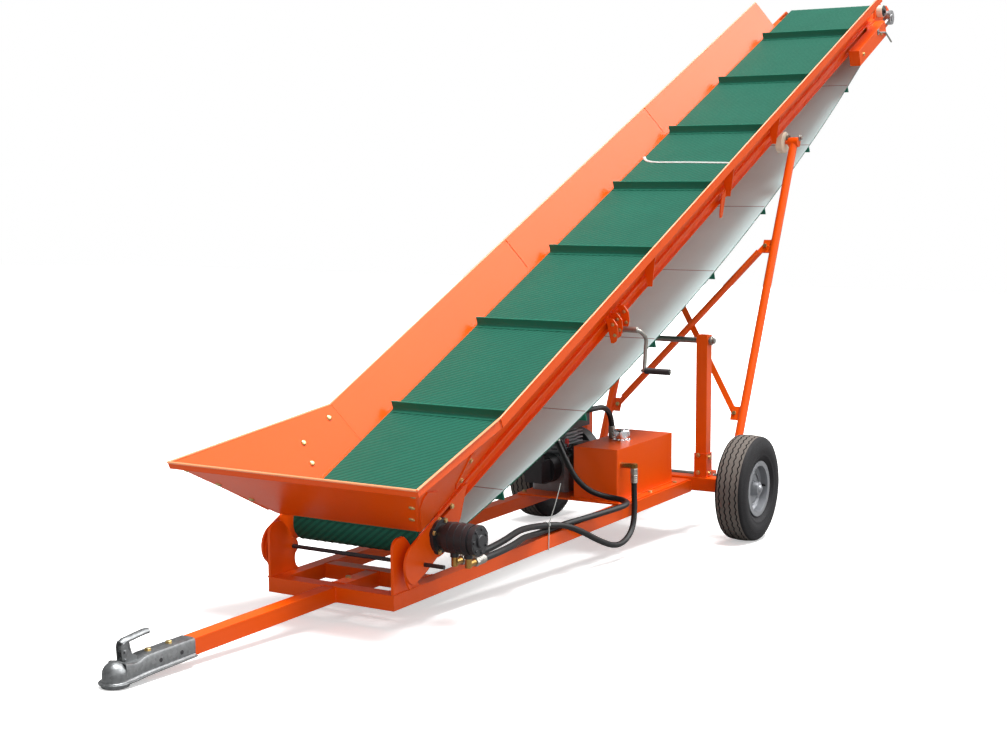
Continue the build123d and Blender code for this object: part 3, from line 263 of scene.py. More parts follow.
class Finish(NamedTuple):
    """A real material as it meets the eye, on Object coordinates; sizes are in metres."""

    title: str
    low: object  # a hex code, or a colour setting with its share
    high: object = None  # second tone that the colour drifts to
    drift: float = 0.1  # size of a patch of one tone
    detail: float = 3.0
    spangle: float = 0.0  # size of a crystal, where the tones follow zinc crystals
    grain: float = 0.0  # grain of the roughness and of the bump
    rough: tuple = (0.5, 0.5)  # lowest and highest roughness
    weave: tuple = ()  # direction, thread width and distortion of a cloth's print
    bump: tuple = (0.0001, 0.1)  # depth and strength
    edge: float = 0.0  # radius that softens sharp edges
    slot: str = ""  # the record's material slot for new pieces
    metal: float = 0.0
    shine: float = 0.5
    coat: float = 0.0
    sockets: dict = {}  # other plain values of the shader


FINISHES = {
    # Powder coat: an even orange with faint orange peel, rounded edges and a soft shine
    "paint": Finish(
        "orange powder coat", ("paint", 0.93), ("paint", 1.05), drift=0.45, grain=0.003, rough=(0.3, 0.4),
        bump=(0.0002, 0.1), edge=0.0018, slot="orange_paint", shine=0.25, coat=0.03,
    ),
    # Paint on the rolled hems: paler orange, a painted highlight where the rims catch the light
    "edge": Finish(
        "paint on rolled edge", "#F4935E", "#F8A87C", drift=0.3, grain=0.003, rough=(0.25, 0.36),
        slot="orange_paint", coat=0.3,
    ),
    # Gap between two wall panels, dark because little light gets in; drawn as wide as it needs to show
    "seam": Finish(
        "shaded panel seam", ("paint", 0.3), ("paint", 0.45), drift=0.2, slot="orange_paint", shine=0.1,
        rough=(0.8, 0.8),
    ),
    # Hot-dip zinc on the coupler: pale grey with patches of spangle that catch the light differently
    "galvanised": Finish(
        "galvanised steel", "#6C6E6F", "#828485", spangle=0.009, grain=0.008, rough=(0.34, 0.52),
        bump=(0.0003, 0.12), edge=0.0015, slot="galvanised_steel", metal=0.85,
    ),
    # Green belt cover: dull PVC, a little uneven where logs have rubbed it
    "cover": Finish(
        "green belt cover", ("belt", 0.86), ("belt", 1.12), drift=0.16, detail=5.0, grain=0.012,
        rough=(0.5, 0.66), bump=(0.0002, 0.15), slot="belt_rubber", shine=0.15,
    ),
    # Grooves between the belt's ribs, darker where dust and shade gather
    "groove": Finish(
        "green belt groove", ("belt", 0.58), ("belt", 0.74), drift=0.16, detail=5.0, grain=0.012,
        rough=(0.6, 0.75), bump=(0.0002, 0.15), shine=0.15,
    ),
    # Cleats, moulded of a clearer green than the cover and smooth
    "cleat": Finish(
        "green cleat", ("belt", 1.35), ("belt", 1.55), drift=0.12, grain=0.02, rough=(0.42, 0.55),
        bump=(0.0002, 0.1), slot="belt_rubber", shine=0.2,
    ),
    # Inner side of the belt: pale grey woven polyester, matt; the weave is as coarse as it needs to show
    # Its tones are lightened and tinted cyan: painted light against the shade under the upper run and the
    # orange bounce from the trough
    "fabric": Finish(
        "belt fabric", ("fabric", 0.92), ("fabric", 1.04), drift=0.22, detail=4.0, weave=("Y", 0.02, 0.5),
        bump=(0.0003, 0.25), shine=0.2, rough=(0.88, 0.88),
    ),
    # Darker line on the fabric where a cleat was welded on from the other side
    "belt_weld": Finish("belt weld line", "#8F8B8A", "#9D9998", drift=0.03, rough=(0.85, 0.85)),
    # Sidewall rubber: near black and dull, a little grey from road dust
    "tyre": Finish(
        "tyre rubber", ("tyre", 1.0), ("tyre", 1.5), drift=0.05, detail=5.0, grain=0.004, rough=(0.62, 0.82),
        bump=(0.0003, 0.2), slot="tyre_rubber", shine=0.25,
    ),
    # Running face of the tyre: worn grey, paler than the sidewalls
    "tread": Finish(
        "worn tread", "#56504C", "#6C6660", drift=0.02, detail=5.0, grain=0.003, rough=(0.75, 0.9),
        bump=(0.0004, 0.3), shine=0.3,
    ),
    # Silver wheel paint: soft metallic with a fine flake
    "rim": Finish(
        "silver wheel paint", ("rim", 0.92), ("rim", 1.05), drift=0.06, grain=0.002, rough=(0.32, 0.46),
        edge=0.001, slot="silver_paint", metal=0.45, coat=0.2,
    ),
    # Hose cover: black rubber with the print of the wrapping cloth
    "hose": Finish(
        "hose rubber", "#0E0F10", weave=("X", 0.03, 1.5), bump=(0.0003, 0.2), slot="hose_rubber", shine=0.3,
    ),
    # Black enamel on cast iron: satin with the sand-cast grain showing through
    "enamel": Finish(
        "black enamel", "#1C1C1E", "#27272A", drift=0.03, grain=0.003, rough=(0.36, 0.52),
        bump=(0.0004, 0.25), edge=0.001, slot="black_steel", shine=0.45,
    ),
    # Black moulded plastic: matt with a fine grain
    "plastic": Finish(
        "black plastic", "#202022", grain=0.0015, rough=(0.45, 0.6), bump=(0.0002, 0.2), edge=0.001,
        slot="black_plastic",
    ),
    # Cream cast nylon: waxy, slightly see-through rollers
    "nylon": Finish(
        "cast nylon", "#DDD2B8", "#EAE2CC", drift=0.03, grain=0.002, rough=(0.38, 0.5),
        sockets={"Subsurface Weight": 0.15, "Subsurface Radius": (0.006, 0.004, 0.003)},
    ),
    # White nylon of the cable tie and the belt's splice thread, greyed by dust
    "white": Finish("white nylon", "#B6B9B5", grain=0.004, rough=(0.4, 0.55), slot="nylon"),
    # Yellow passivated zinc on the bolts: straw gold with a faint drift of tone
    "gold": Finish(
        "yellow zinc", "#B59657", "#D9C692", drift=0.006, grain=0.002, rough=(0.28, 0.42), slot="brass",
        metal=0.9,
    ),
    # Dull zinc plate on shafts, crank and nuts: grey metal with handling marks
    "zinc": Finish(
        "zinc plate", "#827F79", "#A8A59E", drift=0.02, grain=0.004, rough=(0.3, 0.48), edge=0.0008,
        slot="zinc_plate", metal=0.9,
    ),
    # Turned steel of drums and shafts: grey with fine lathe marks
    "steel": Finish(
        "turned steel", "#8D8D8E", "#B2B2B3", drift=0.03, grain=0.002, rough=(0.3, 0.45), bump=(0.0001, 0.15),
        metal=1.0,
    ),
    # Yellow brass oil fittings, tarnished
    "brass": Finish(
        "brass", "#94703A", "#B89253", drift=0.01, grain=0.003, rough=(0.25, 0.4), edge=0.0006, metal=1.0,
    ),
    # Bright chrome of the filler cap
    "chrome": Finish(
        "chrome", "#E4E5E7", grain=0.01, rough=(0.06, 0.12), bump=(0.0001, 0.05), edge=0.0008, slot="chrome",
        metal=1.0,
    ),
    # Die-cast engine block: rough silver grey
    "aluminium": Finish(
        "cast aluminium", "#77797B", "#9B9DA0", drift=0.02, grain=0.002, rough=(0.48, 0.65),
        bump=(0.0004, 0.3), metal=0.9,
    ),
    # Red lever of the engine
    "red": Finish("red plastic", "#B3201C", grain=0.003, rough=(0.35, 0.5), slot="black_plastic"),
}
NODE_FINISH = {
    "galvanised": ("coupler", "coupler_latch"),
    "enamel": ("pivot_rod", "motor", "pump"),
    "steel": ("tail_drum", "head_drum", "bearings"),
    "zinc": ("rest_shaft", "leg_shaft", "crank"),
    "tyre": ("tyre_near", "tyre_far"),
    "rim": ("rim_near", "rim_far"),
    "hose": tuple(HOSES),
    "brass": ("oil_fittings", "motor_fittings"),
    "nylon": ("roller_near", "roller_far", "head_roller"),
    "plastic": ("crank_grip", "roller_cap", "engine_covers"),
    "aluminium": ("engine_block",),
    "chrome": ("tank_cap",),
    "cover": ("belt",),
}
made = {}  # materials made so far, by finish


def add_node(tree, kind, inputs=None, **settings):
    """Add a node, set its properties, then give each named input a value or a link."""
    node = tree.nodes.new(kind)
    for key, value in settings.items():
        setattr(node, key, value)
    for key, value in (inputs or {}).items():
        if isinstance(value, bpy.types.NodeSocket):
            tree.links.new(value, node.inputs[key])
        else:
            node.inputs[key].default_value = value
    return node


def blank(title, sockets):
    """New material with a Principled shader; the values go straight onto its sockets."""
    material = bpy.data.materials.new(title)
    material.use_nodes = True
    tree = material.node_tree
    tree.nodes.clear()
    shader = add_node(tree, "ShaderNodeBsdfPrincipled", sockets)
    add_node(tree, "ShaderNodeOutputMaterial", {"Surface": shader.outputs[0]})
    return material, tree, shader


def tint(tone):
    """Linear colour with alpha of a hex code, or of a colour setting made darker or lighter."""
    if isinstance(tone, str):
        return (*linear(tone), 1.0)
    setting, share = tone
    return (*[min(1.0, part * share) for part in getattr(bpy.context.scene.conveyor_colours, setting)], 1.0)


def make_finish(look):
    """Material with a finish's tones, its grain or weave, and softened edges."""
    low, high = look.rough
    plain = {
        "Metallic": look.metal, "Specular IOR Level": look.shine, "Coat Weight": look.coat, "Roughness": low,
        **look.sockets,
    }
    if not look.high:
        plain["Base Color"] = tint(look.low)
    material, tree, shader = blank(look.title, plain)
    place = add_node(tree, "ShaderNodeTexCoord").outputs["Object"]
    if look.high:
        if look.spangle:
            cells = add_node(tree, "ShaderNodeTexVoronoi", {"Vector": place, "Scale": 1 / look.spangle})
            patches = cells.outputs["Color"]
        else:
            noise = {"Vector": place, "Scale": 1 / look.drift, "Detail": look.detail}
            patches = add_node(tree, "ShaderNodeTexNoise", noise).outputs[0]
        tones = {0: patches, 6: tint(look.low), 7: tint(look.high)}
        tone = add_node(tree, "ShaderNodeMix", tones, data_type="RGBA")
        tree.links.new(tone.outputs[2], shader.inputs["Base Color"])
    height = None
    if look.grain:
        noise = {"Vector": place, "Scale": 1 / look.grain, "Detail": 4.0}
        height = add_node(tree, "ShaderNodeTexNoise", noise).outputs[0]
        rough = add_node(
            tree, "ShaderNodeMapRange",
            {"Value": height, "From Min": 0.3, "From Max": 0.7, "To Min": low, "To Max": high},
        )
        tree.links.new(rough.outputs[0], shader.inputs["Roughness"])
    elif look.weave:
        direction, width, distortion = look.weave
        threads = {"Vector": place, "Scale": 1 / width, "Distortion": distortion}
        height = add_node(tree, "ShaderNodeTexWave", threads, bands_direction=direction).outputs[1]
    if height:
        depth, strength = look.bump
        relief = {"Height": height, "Distance": depth, "Strength": strength}
        if look.edge:
            relief["Normal"] = add_node(tree, "ShaderNodeBevel", {"Radius": look.edge}, samples=4).outputs[0]
        tree.links.new(add_node(tree, "ShaderNodeBump", relief).outputs[0], shader.inputs["Normal"])
    return material


def finish(name):
    """Material of a finish, made the first time that it is asked for."""
    if name not in made:
        made[name] = make_finish(FINISHES[name])
    return made[name]


def circle(radius, sides, wide=1.0, high=1.0):
    """Corners of a regular outline, which may be stretched to an oval."""
    turns = [math.tau * i / sides for i in range(sides)]
    return [(radius * math.cos(turn) * wide, radius * math.sin(turn) * high) for turn in turns]


def rectangle(left, low, right, high):
    """Corners of an upright rectangle."""
    return [(left, low), (right, low), (right, high), (left, high)]


class Draft:
    """Corners and faces of a piece, gathered in millimetres before they become a mesh."""

    merge_within = 0.00001
    sharp_from = math.radians(32)

    def __init__(self):
        self.corners = []
        self.faces = []
        self.slots = []

    def add(self, corners, faces, place=None, slots=(0,)):
        """Add faces, which take the slots in turn."""
        start = len(self.corners)
        place = place or Matrix()
        self.corners += [place @ Vector(corner) for corner in corners]
        self.faces += [[start + i for i in face] for face in faces]
        self.slots += [slots[i % len(slots)] for i in range(len(faces))]

    def skin(self, rings, place=None, slots=(0,), loop=False):
        """Skin over rings of equal count, capped at both ends unless they close on themselves."""
        count = len(rings[0])
        faces = []
        for i in range(len(rings) if loop else len(rings) - 1):
            low, high = i * count, (i + 1) % len(rings) * count
            for j in range(count):
                k = (j + 1) % count
                faces.append((low + j, low + k, high + k, high + j))
        self.add([corner for ring in rings for corner in ring], faces, place, slots)
        if not loop:
            self.add(rings[0], [tuple(reversed(range(count)))], place, slots)
            self.add(rings[-1], [tuple(range(count))], place, slots)

    def lathe(self, profile, place=None, steps=32):
        """Turn a closed outline of (radius, height) about its own Z."""
        rings = []
        for i in range(steps):
            angle = math.tau * i / steps
            rings.append([(r * math.cos(angle), r * math.sin(angle), h) for r, h in profile])
        self.skin(rings, place, loop=True)

    def disc(self, radius, low, high, place=None, steps=24):
        """Plain turned disc or pin."""
        self.lathe([(0, low), (radius, low), (radius, high), (0, high)], place, steps)

    def prism(self, outline, low, high, place=None):
        """Extrude a flat outline from one height to another."""
        self.skin([[(x, y, z) for x, y in outline] for z in (low, high)], place)

    def nut(self, radius, low, high, chamfer, place):
        """Hexagon nut with both its ends chamfered."""
        heights = ((low, 0.93), (low + chamfer, 1), (high - chamfer, 1), (high, 0.93))
        self.skin([[(x, y, z) for x, y in circle(radius * share, 6)] for z, share in heights], place)

    def sweep(self, path, section, slots=(0,), across=None, closed=False):
        """Carry a section along a path without letting it twist."""
        path = [Vector(point) for point in path]
        last = len(path) - 1
        ways = []
        for i in range(len(path)):
            before = path[i - 1] if i or closed else path[i]
            after = path[(i + 1) % len(path)] if i < last or closed else path[i]
            ways.append((after - before).normalized())
        side = Vector(across) if across else ways[0].orthogonal().normalized()
        rings = []
        for i, way in enumerate(ways):
            if i:
                side = ways[i - 1].rotation_difference(way) @ side
            rise = way.cross(side)
            rings.append([path[i] + side * x + rise * y for x, y in section])
        self.skin(rings, slots=slots, loop=closed)

    def mesh(self, name, place, finishes):
        """Mesh in the stored frame, with its doubles merged and its normals outward."""
        mesh = bpy.data.meshes.new(name)
        mesh.from_pydata(self.corners, [], self.faces)
        mesh.polygons.foreach_set("material_index", self.slots)
        mesh.transform(place)
        work = bmesh.new()
        work.from_mesh(mesh)
        bmesh.ops.remove_doubles(work, verts=work.verts, dist=self.merge_within)
        bmesh.ops.recalc_face_normals(work, faces=work.faces)
        work.to_mesh(mesh)
        work.free()
        for name_of_finish in finishes:
            mesh.materials.append(finish(name_of_finish))
        mesh.shade_smooth()
        mesh.set_sharp_from_angle(angle=self.sharp_from)
        return mesh


def show(name, mesh, body, stands_for=()):
    """Put a finished mesh into the scene on its body, and hide the CAD nodes that it stands for."""
    obj = bpy.data.objects.new(name, mesh)
    bpy.context.scene.collection.objects.link(obj)
    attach(obj, body)
    if stands_for:
        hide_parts(*stands_for)
    return obj


def piece(name, draft, body, *finishes, place=None, stands_for=()):
    """Show a draft, given in its body's frame or at a place, with its finishes as its materials."""
    place = place or FRAMES[body]
    return show(name, draft.mesh(name, place, finishes), body, stands_for)


def turned(frame_of, spot, up, along=None):
    """Place of a repeated piece: its Z points up, its X along, at a spot given in a group's frame."""
    lift = (frame_of.to_3x3() @ Vector(up)).normalized()
    way = (frame_of.to_3x3() @ Vector(along)).normalized() if along else lift.orthogonal().normalized()
    way = (way - lift * way.dot(lift)).normalized()
    turn = Matrix((way, lift.cross(way), lift)).transposed()
    return frame_of @ Vector(spot), turn.to_euler()


def repeat_tree():
    """Geometry Nodes tree that sets a piece on every point, turned by the points' own attribute."""
    tree = bpy.data.node_groups.new("Pieces on points", "GeometryNodeTree")
    for label, kind in (
        ("Points", "NodeSocketGeometry"), ("Piece", "NodeSocketObject"), ("Unevenness", "NodeSocketFloat"),
        ("Seed", "NodeSocketInt"), ("Finish", "NodeSocketMaterial"),
    ):
        tree.interface.new_socket(name=label, in_out="INPUT", socket_type=kind)
    tree.interface.new_socket(name="Pieces", in_out="OUTPUT", socket_type="NodeSocketGeometry")
    given = add_node(tree, "NodeGroupInput").outputs
    turn = add_node(tree, "GeometryNodeInputNamedAttribute", {"Name": "turn"}, data_type="FLOAT_VECTOR")
    spin = add_node(tree, "FunctionNodeEulerToRotation", {0: turn.outputs[0]})
    less = add_node(tree, "ShaderNodeMath", {0: 1.0, 1: given["Unevenness"]}, operation="SUBTRACT")
    more = add_node(tree, "ShaderNodeMath", {0: 1.0, 1: given["Unevenness"]}, operation="ADD")
    size = add_node(
        tree, "FunctionNodeRandomValue", {2: less.outputs[0], 3: more.outputs[0], "Seed": given["Seed"]},
        data_type="FLOAT",
    )
    source = add_node(tree, "GeometryNodeObjectInfo", {"Object": given["Piece"]})
    spread = add_node(
        tree, "GeometryNodeInstanceOnPoints",
        {
            "Points": given["Points"], "Instance": source.outputs["Geometry"], "Rotation": spin.outputs[0],
            "Scale": size.outputs[1],
        },
    )
    real = add_node(tree, "GeometryNodeRealizeInstances", {0: spread.outputs[0]})
    painted = add_node(tree, "GeometryNodeSetMaterial", {0: real.outputs[0], "Material": given["Finish"]})
    add_node(tree, "NodeGroupOutput", {0: painted.outputs[0]})
    return tree


def repeat(name, draft, spots, body, finish_name, unevenness=0.0, seed=1):
    """Set a draft at many spots, each with its up and perhaps its along, as one plain mesh on a body."""
    places = [turned(FRAMES[body], *spot) for spot in spots]
    tree = bpy.data.node_groups.get("Pieces on points") or repeat_tree()
    source = bpy.data.objects.new(name + " source", draft.mesh(name + " source", STORED, ()))
    points = bpy.data.meshes.new(name + " points")
    points.from_pydata([spot for spot, turn in places], [], [])
    turns = points.attributes.new("turn", "FLOAT_VECTOR", "POINT")
    turns.data.foreach_set("vector", [angle for spot, turn in places for angle in turn])
    holder = bpy.data.objects.new(name + " points", points)
    for obj in (source, holder):
        bpy.context.scene.collection.objects.link(obj)
    modifier = holder.modifiers.new("Pieces on points", "NODES")
    modifier.node_group = tree
    values = {"Piece": source, "Unevenness": unevenness, "Seed": seed, "Finish": finish(finish_name)}
    for item in tree.interface.items_tree:
        if item.in_out == "INPUT" and item.name in values:
            modifier[item.identifier] = values[item.name]
    graph = bpy.context.evaluated_depsgraph_get()
    mesh = bpy.data.meshes.new_from_object(holder.evaluated_get(graph))
    holder.modifiers.clear()
    for obj in (holder, source):
        data = obj.data
        bpy.data.objects.remove(obj)
        bpy.data.meshes.remove(data)
    if not mesh.polygons:
        raise RuntimeError(name + " has no faces")
    mesh.name = name
    return show(name, mesh, body)


def hex_bolt(across):
    """Hex head on a washer, sized by its width across the flats."""
    draft = Draft()
    radius = across / 2 / math.cos(math.pi / 6)
    draft.disc(across * 0.62, -0.5, 1.6, steps=20)
    rings = []
    for height, share in ((1.6, 1.0), (across * 0.36, 1.0), (across * 0.44, 0.88)):
        rings.append([(x, y, height) for x, y in circle(radius * share, 6)])
    draft.skin(rings)
    return draft


def nut_end(across):
    """Nut on a washer with the bolt's end standing out of it."""
    draft = hex_bolt(across)
    foot, tip, bolt = across * 0.4, across * 0.62, across * 0.3
    draft.lathe([(0, foot), (bolt, foot), (bolt, tip), (across * 0.24, tip + 1.2), (0, tip + 1.2)], steps=16)
    return draft


def dome_bolt(radius):
    """Low round head of a carriage bolt."""
    draft = Draft()
    profile = [(0, -0.5), (radius, -0.5), (radius, 0.6)]
    for step in range(1, 7):
        angle = step * math.pi / 12
        profile.append((radius * math.cos(angle), 0.6 + radius * 0.48 * math.sin(angle)))
    draft.lathe(profile, steps=20)
    return draft


def hole_disc(radius):
    """Black disc that paints the shade inside an open hole."""
    draft = Draft()
    draft.disc(radius, -0.5, 0.25)
    return draft


def mirrored(spots):
    """Spots and directions on the near side, then their mirror images on the far side."""
    return spots + [((x, -y, z), (u, -v, w)) for (x, y, z), (u, v, w) in spots]


def on_side(point, side):
    """Point of the far side, or its mirror image on the near side."""
    return point * Vector((1, side, 1))


class CONVEYOR_OT_finishes(bpy.types.Operator):
    """Give every CAD node the finish of its real material"""

    bl_idname = "conveyor.finishes"
    bl_label = "Finishes"

    def execute(self, context):
        named = {node: name for name, nodes in NODE_FINISH.items() for node in nodes}
        for node, obj in NODES.items():
            obj.data.materials.clear()
            obj.data.materials.append(finish(named.get(node, "paint")))
        return {"FINISHED"}


def on_loop(way):
    """Centre of curvature, radius and angle of the outward normal after some way along the belt."""
    way = way % LOOP
    if way <= DRUM_SPACING:
        return (way, 0.0), BELT_RADIUS, math.pi / 2
    way -= DRUM_SPACING
    if way <= WRAP:
        return (DRUM_SPACING, 0.0), BELT_RADIUS, math.pi / 2 - way / BELT_RADIUS
    way -= WRAP
    if way <= LOWER_RUN:
        return (DRUM_SPACING / 2, SAG_CENTRE), SAG_RADIUS, HANG - math.pi / 2 - way / SAG_RADIUS
    return (0.0, 0.0), BELT_RADIUS, -math.pi / 2 - HANG - (way - LOWER_RUN) / BELT_RADIUS


def belt_point(way, y, lift):
    """Point on the belt at some way along it, off its outer face by lift."""
    (along, up), radius, angle = on_loop(way)
    return along + (radius + lift) * math.cos(angle), y, up + (radius + lift) * math.sin(angle)


class CONVEYOR_OT_belt(bpy.types.Operator):
    """Ribbed belt with its cleats, splice and weld lines"""

    bl_idname = "conveyor.belt"
    bl_label = "Belt"

    def execute(self, context):
        sizes = context.scene.conveyor_sizes
        count = round(LOOP * MM / sizes.rib_pitch)
        pitch = LOOP / count
        depth = -sizes.rib_depth / MM
        rings = []
        columns = [BELT_HALF * (2 * j / BELT_COLUMNS - 1) for j in range(BELT_COLUMNS + 1)]
        for i in range(count):
            for share, lift in ((0.0, 0.0), (0.35, 0.0), (0.52, depth), (0.83, depth)):
                way = (i + share) * pitch
                ring = [belt_point(way - sizes.rib_slant * y, y, lift) for y in columns]
                ring += [belt_point(way - sizes.rib_slant * y, y, -BELT_THICKNESS) for y in reversed(columns)]
                rings.append(ring)
        draft = Draft()
        cover, fabric, weld, thread, groove = range(5)  # slots, in the order of the finishes below
        slots = []
        for face in (cover, groove, groove, cover):
            slots += [face] * BELT_COLUMNS + [cover] + [fabric] * BELT_COLUMNS + [cover]
        draft.skin(rings, slots=slots, loop=True)
        ways = [CLEAT_FIRST + i * LOOP / CLEAT_COUNT for i in range(CLEAT_COUNT)]
        for way in ways:
            ends = []
            for y in (-CLEAT_HALF, CLEAT_HALF):
                line = rectangle(-3, -0.5, 3, 0.25)
                ends.append([belt_point(way + x, y, -BELT_THICKNESS - z) for x, z in line])
            draft.skin(ends, slots=(weld,))
        section = circle(8, 10, wide=0.9, high=0.35)
        draft.sweep([(x, y, SPLICE_UP) for x, y in SPLICE], section, slots=(thread,), across=(0.47, -0.88, 0))
        piece(
            "belt_with_ribs", draft, "boom", "cover", "fabric", "belt_weld", "white", "groove",
            stands_for=("belt",),
        )

        cleat = Draft()
        outline = CLEAT_FLANK + [(-x, z) for x, z in reversed(CLEAT_FLANK)]
        cleat.skin([[(x, y, z) for x, z in outline] for y in (-CLEAT_HALF, CLEAT_HALF)])
        spots = []
        for way in ways:
            angle = on_loop(way)[2]
            up = (math.cos(angle), 0, math.sin(angle))
            spots.append((belt_point(way, 0.0, 0.0), up, (up[2], 0, -up[0])))
        repeat("cleats", cleat, spots, "boom", "cleat")
        return {"FINISHED"}


class CONVEYOR_OT_wheels(bpy.types.Operator):
    """Tyres with zigzag tread, hub caps and valves"""

    bl_idname = "conveyor.wheels"
    bl_label = "Wheels"

    def execute(self, context):
        sizes = context.scene.conveyor_sizes
        swing = sizes.tread_swing / MM
        rings = []
        steps = sizes.tread_waves * 4
        for i in range(steps):
            angle = math.tau * i / steps
            section = [(-y, r) for y, r in TYRE_WALL]
            for groove in GROOVES:
                middle = groove + (0, swing, 0, -swing)[i % 4]
                crown = TYRE_RADIUS - TREAD_DROP * (middle / TREAD_HALF) ** 2
                section += [
                    (middle - GROOVE_TOP, crown), (middle - GROOVE_FOOT, crown - GROOVE_DEPTH),
                    (middle + GROOVE_FOOT, crown - GROOVE_DEPTH), (middle + GROOVE_TOP, crown),
                ]
            section += [(y, r) for y, r in reversed(TYRE_WALL)]
            rings.append([(r * math.cos(angle), y, r * math.sin(angle)) for y, r in section])
        slots = [0] * len(rings[0])
        for rib in range(len(GROOVES) + 1):
            slots[len(TYRE_WALL) - 1 + 4 * rib] = 1
        tyre = Draft()
        tyre.skin(rings, slots=slots, loop=True)
        cap = Draft()
        cap.lathe([(0, -8), (26, -8), (26, 1.5), (20, 3), (17, 3.5), (16.5, 6), (14, 9), (9, 11), (0, 11.6)])
        cap.lathe([(62, -26.5), (66, -28), (70, -29.5), (70, -27.5), (66, -26), (62, -24.5)], steps=48)
        valve = Draft()
        valve.sweep([(80, 0, -40), (82, 0, -26), (84, 0, -14)], circle(4.5, 10))
        valve.sweep([(84, 0, -14), (84.6, 0, -9), (85, 0, -6)], circle(3.4, 10))
        for name, side in (("near", -1), ("far", 1)):
            centre = LEVEL @ Matrix.Translation((AXLE_LEVEL.x, side * WHEEL_OUT, AXLE_LEVEL.z))
            face = centre @ outward(side) @ Matrix.Translation((0, 0, HUB_FACE))
            body = "wheel_" + name
            stood = ("tyre_" + name,)
            piece("tyre_tread_" + name, tyre, body, "tyre", "tread", place=centre, stands_for=stood)
            piece("hub_cap_" + name, cap, body, "rim", place=face)
            piece("valve_" + name, valve, body, "hose", place=face)
        return {"FINISHED"}


def route_points(name):
    """Points along a hose, read from a spline through its route's control points."""
    curve = bpy.data.curves.new(name + " route", "CURVE")
    curve.dimensions = "3D"
    curve.resolution_u = 8
    spline = curve.splines.new("NURBS")
    spline.points.add(len(HOSES[name]) - 1)
    for point, spot in zip(spline.points, HOSES[name]):
        point.co = (*(LEVEL @ Vector(spot)), 1.0)
    spline.order_u = 3
    spline.use_endpoint_u = True
    holder = bpy.data.objects.new(name + " route", curve)
    bpy.context.scene.collection.objects.link(holder)
    graph = bpy.context.evaluated_depsgraph_get()
    line = bpy.data.meshes.new_from_object(holder.evaluated_get(graph))
    points = [vertex.co.copy() for vertex in line.vertices]
    bpy.data.objects.remove(holder)
    bpy.data.curves.remove(curve)
    bpy.data.meshes.remove(line)
    return points


def ferrule(start, way):
    """Crimped sleeve over a hose's end, with its fitting's nut; way leads into the hose."""
    draft = Draft()
    place = Matrix.Translation(start) @ way.to_track_quat("Z", "Y").to_matrix().to_4x4()
    profile = [(11.6, -2), (14.4, -2), (14.8, 1)]
    for i in range(4):
        profile += [(14.8, 5 + i * 9), (13.6, 6.5 + i * 9), (13.6, 8.5 + i * 9), (14.8, 10 + i * 9)]
    profile += [(14.4, 41), (11.6, 41)]
    draft.lathe(profile, place, steps=24)
    draft.nut(16.2, -17, -2, 1.5, place)
    return draft


class CONVEYOR_OT_hoses(bpy.types.Operator):
    """Oil hoses with crimped ends, and the cable tie on the rail"""

    bl_idname = "conveyor.hoses"
    bl_label = "Hoses"

    def execute(self, context):
        for name, (first, last) in HOSE_ENDS.items():
            path = route_points(name)
            draft = Draft()
            draft.sweep([point / MM for point in path], circle(HOSE_RADIUS, 18))
            obj = bpy.data.objects.new(name + "_tube", draft.mesh(name + "_tube", STORED, ("hose",)))
            context.scene.collection.objects.link(obj)
            if first == last:
                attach(obj, first)
            else:
                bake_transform(obj)
            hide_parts(name)
            for body, start, after, label in (
                (first, path[0], path[1], "first"), (last, path[-1], path[-2], "last"),
            ):
                sleeve = ferrule(start / MM, (after - start).normalized())
                piece(name + "_" + label + "_ferrule", sleeve, body, "zinc", place=STORED)
        tie = Draft()
        along = TIE_AT[0]
        strap = [
            (-253, 187), (-225, 186.8), (-198, 187), (-196.8, 215), (-198, 243), (-214, 252), (-220, 266),
            (-226, 284), (-238, 292), (-250, 288), (-254, 276), (-254.5, 255), (-253.5, 238), (-253.2, 212),
        ]
        flat = rectangle(-2.4, -0.7, 2.4, 0.7)
        tie.sweep([(along, y, z) for y, z in strap], flat, across=(1, 0, 0), closed=True)
        tail = [(along, -253, 284), (992, -258, 306), (1008, -264, 345), (1026, -268, 385), (1044, -270, 426)]
        tie.sweep(tail, flat, across=(1, 0, 0))
        tie.prism(rectangle(-4, -5, 4, 5), 0, 5, Matrix.Translation((along, -253.5, 283)) @ NEAR)
        piece("cable_tie", tie, "chassis", "white")
        return {"FINISHED"}


def side_normal():
    """Inward normal of the hopper's near side, in the trough's frame."""
    foot, brow, corner = (on_side(point, -1) for point in (FOLD, BROW, CORNER))
    normal = (brow - foot).cross(corner - foot).normalized()
    return normal if normal.y > 0 else -normal


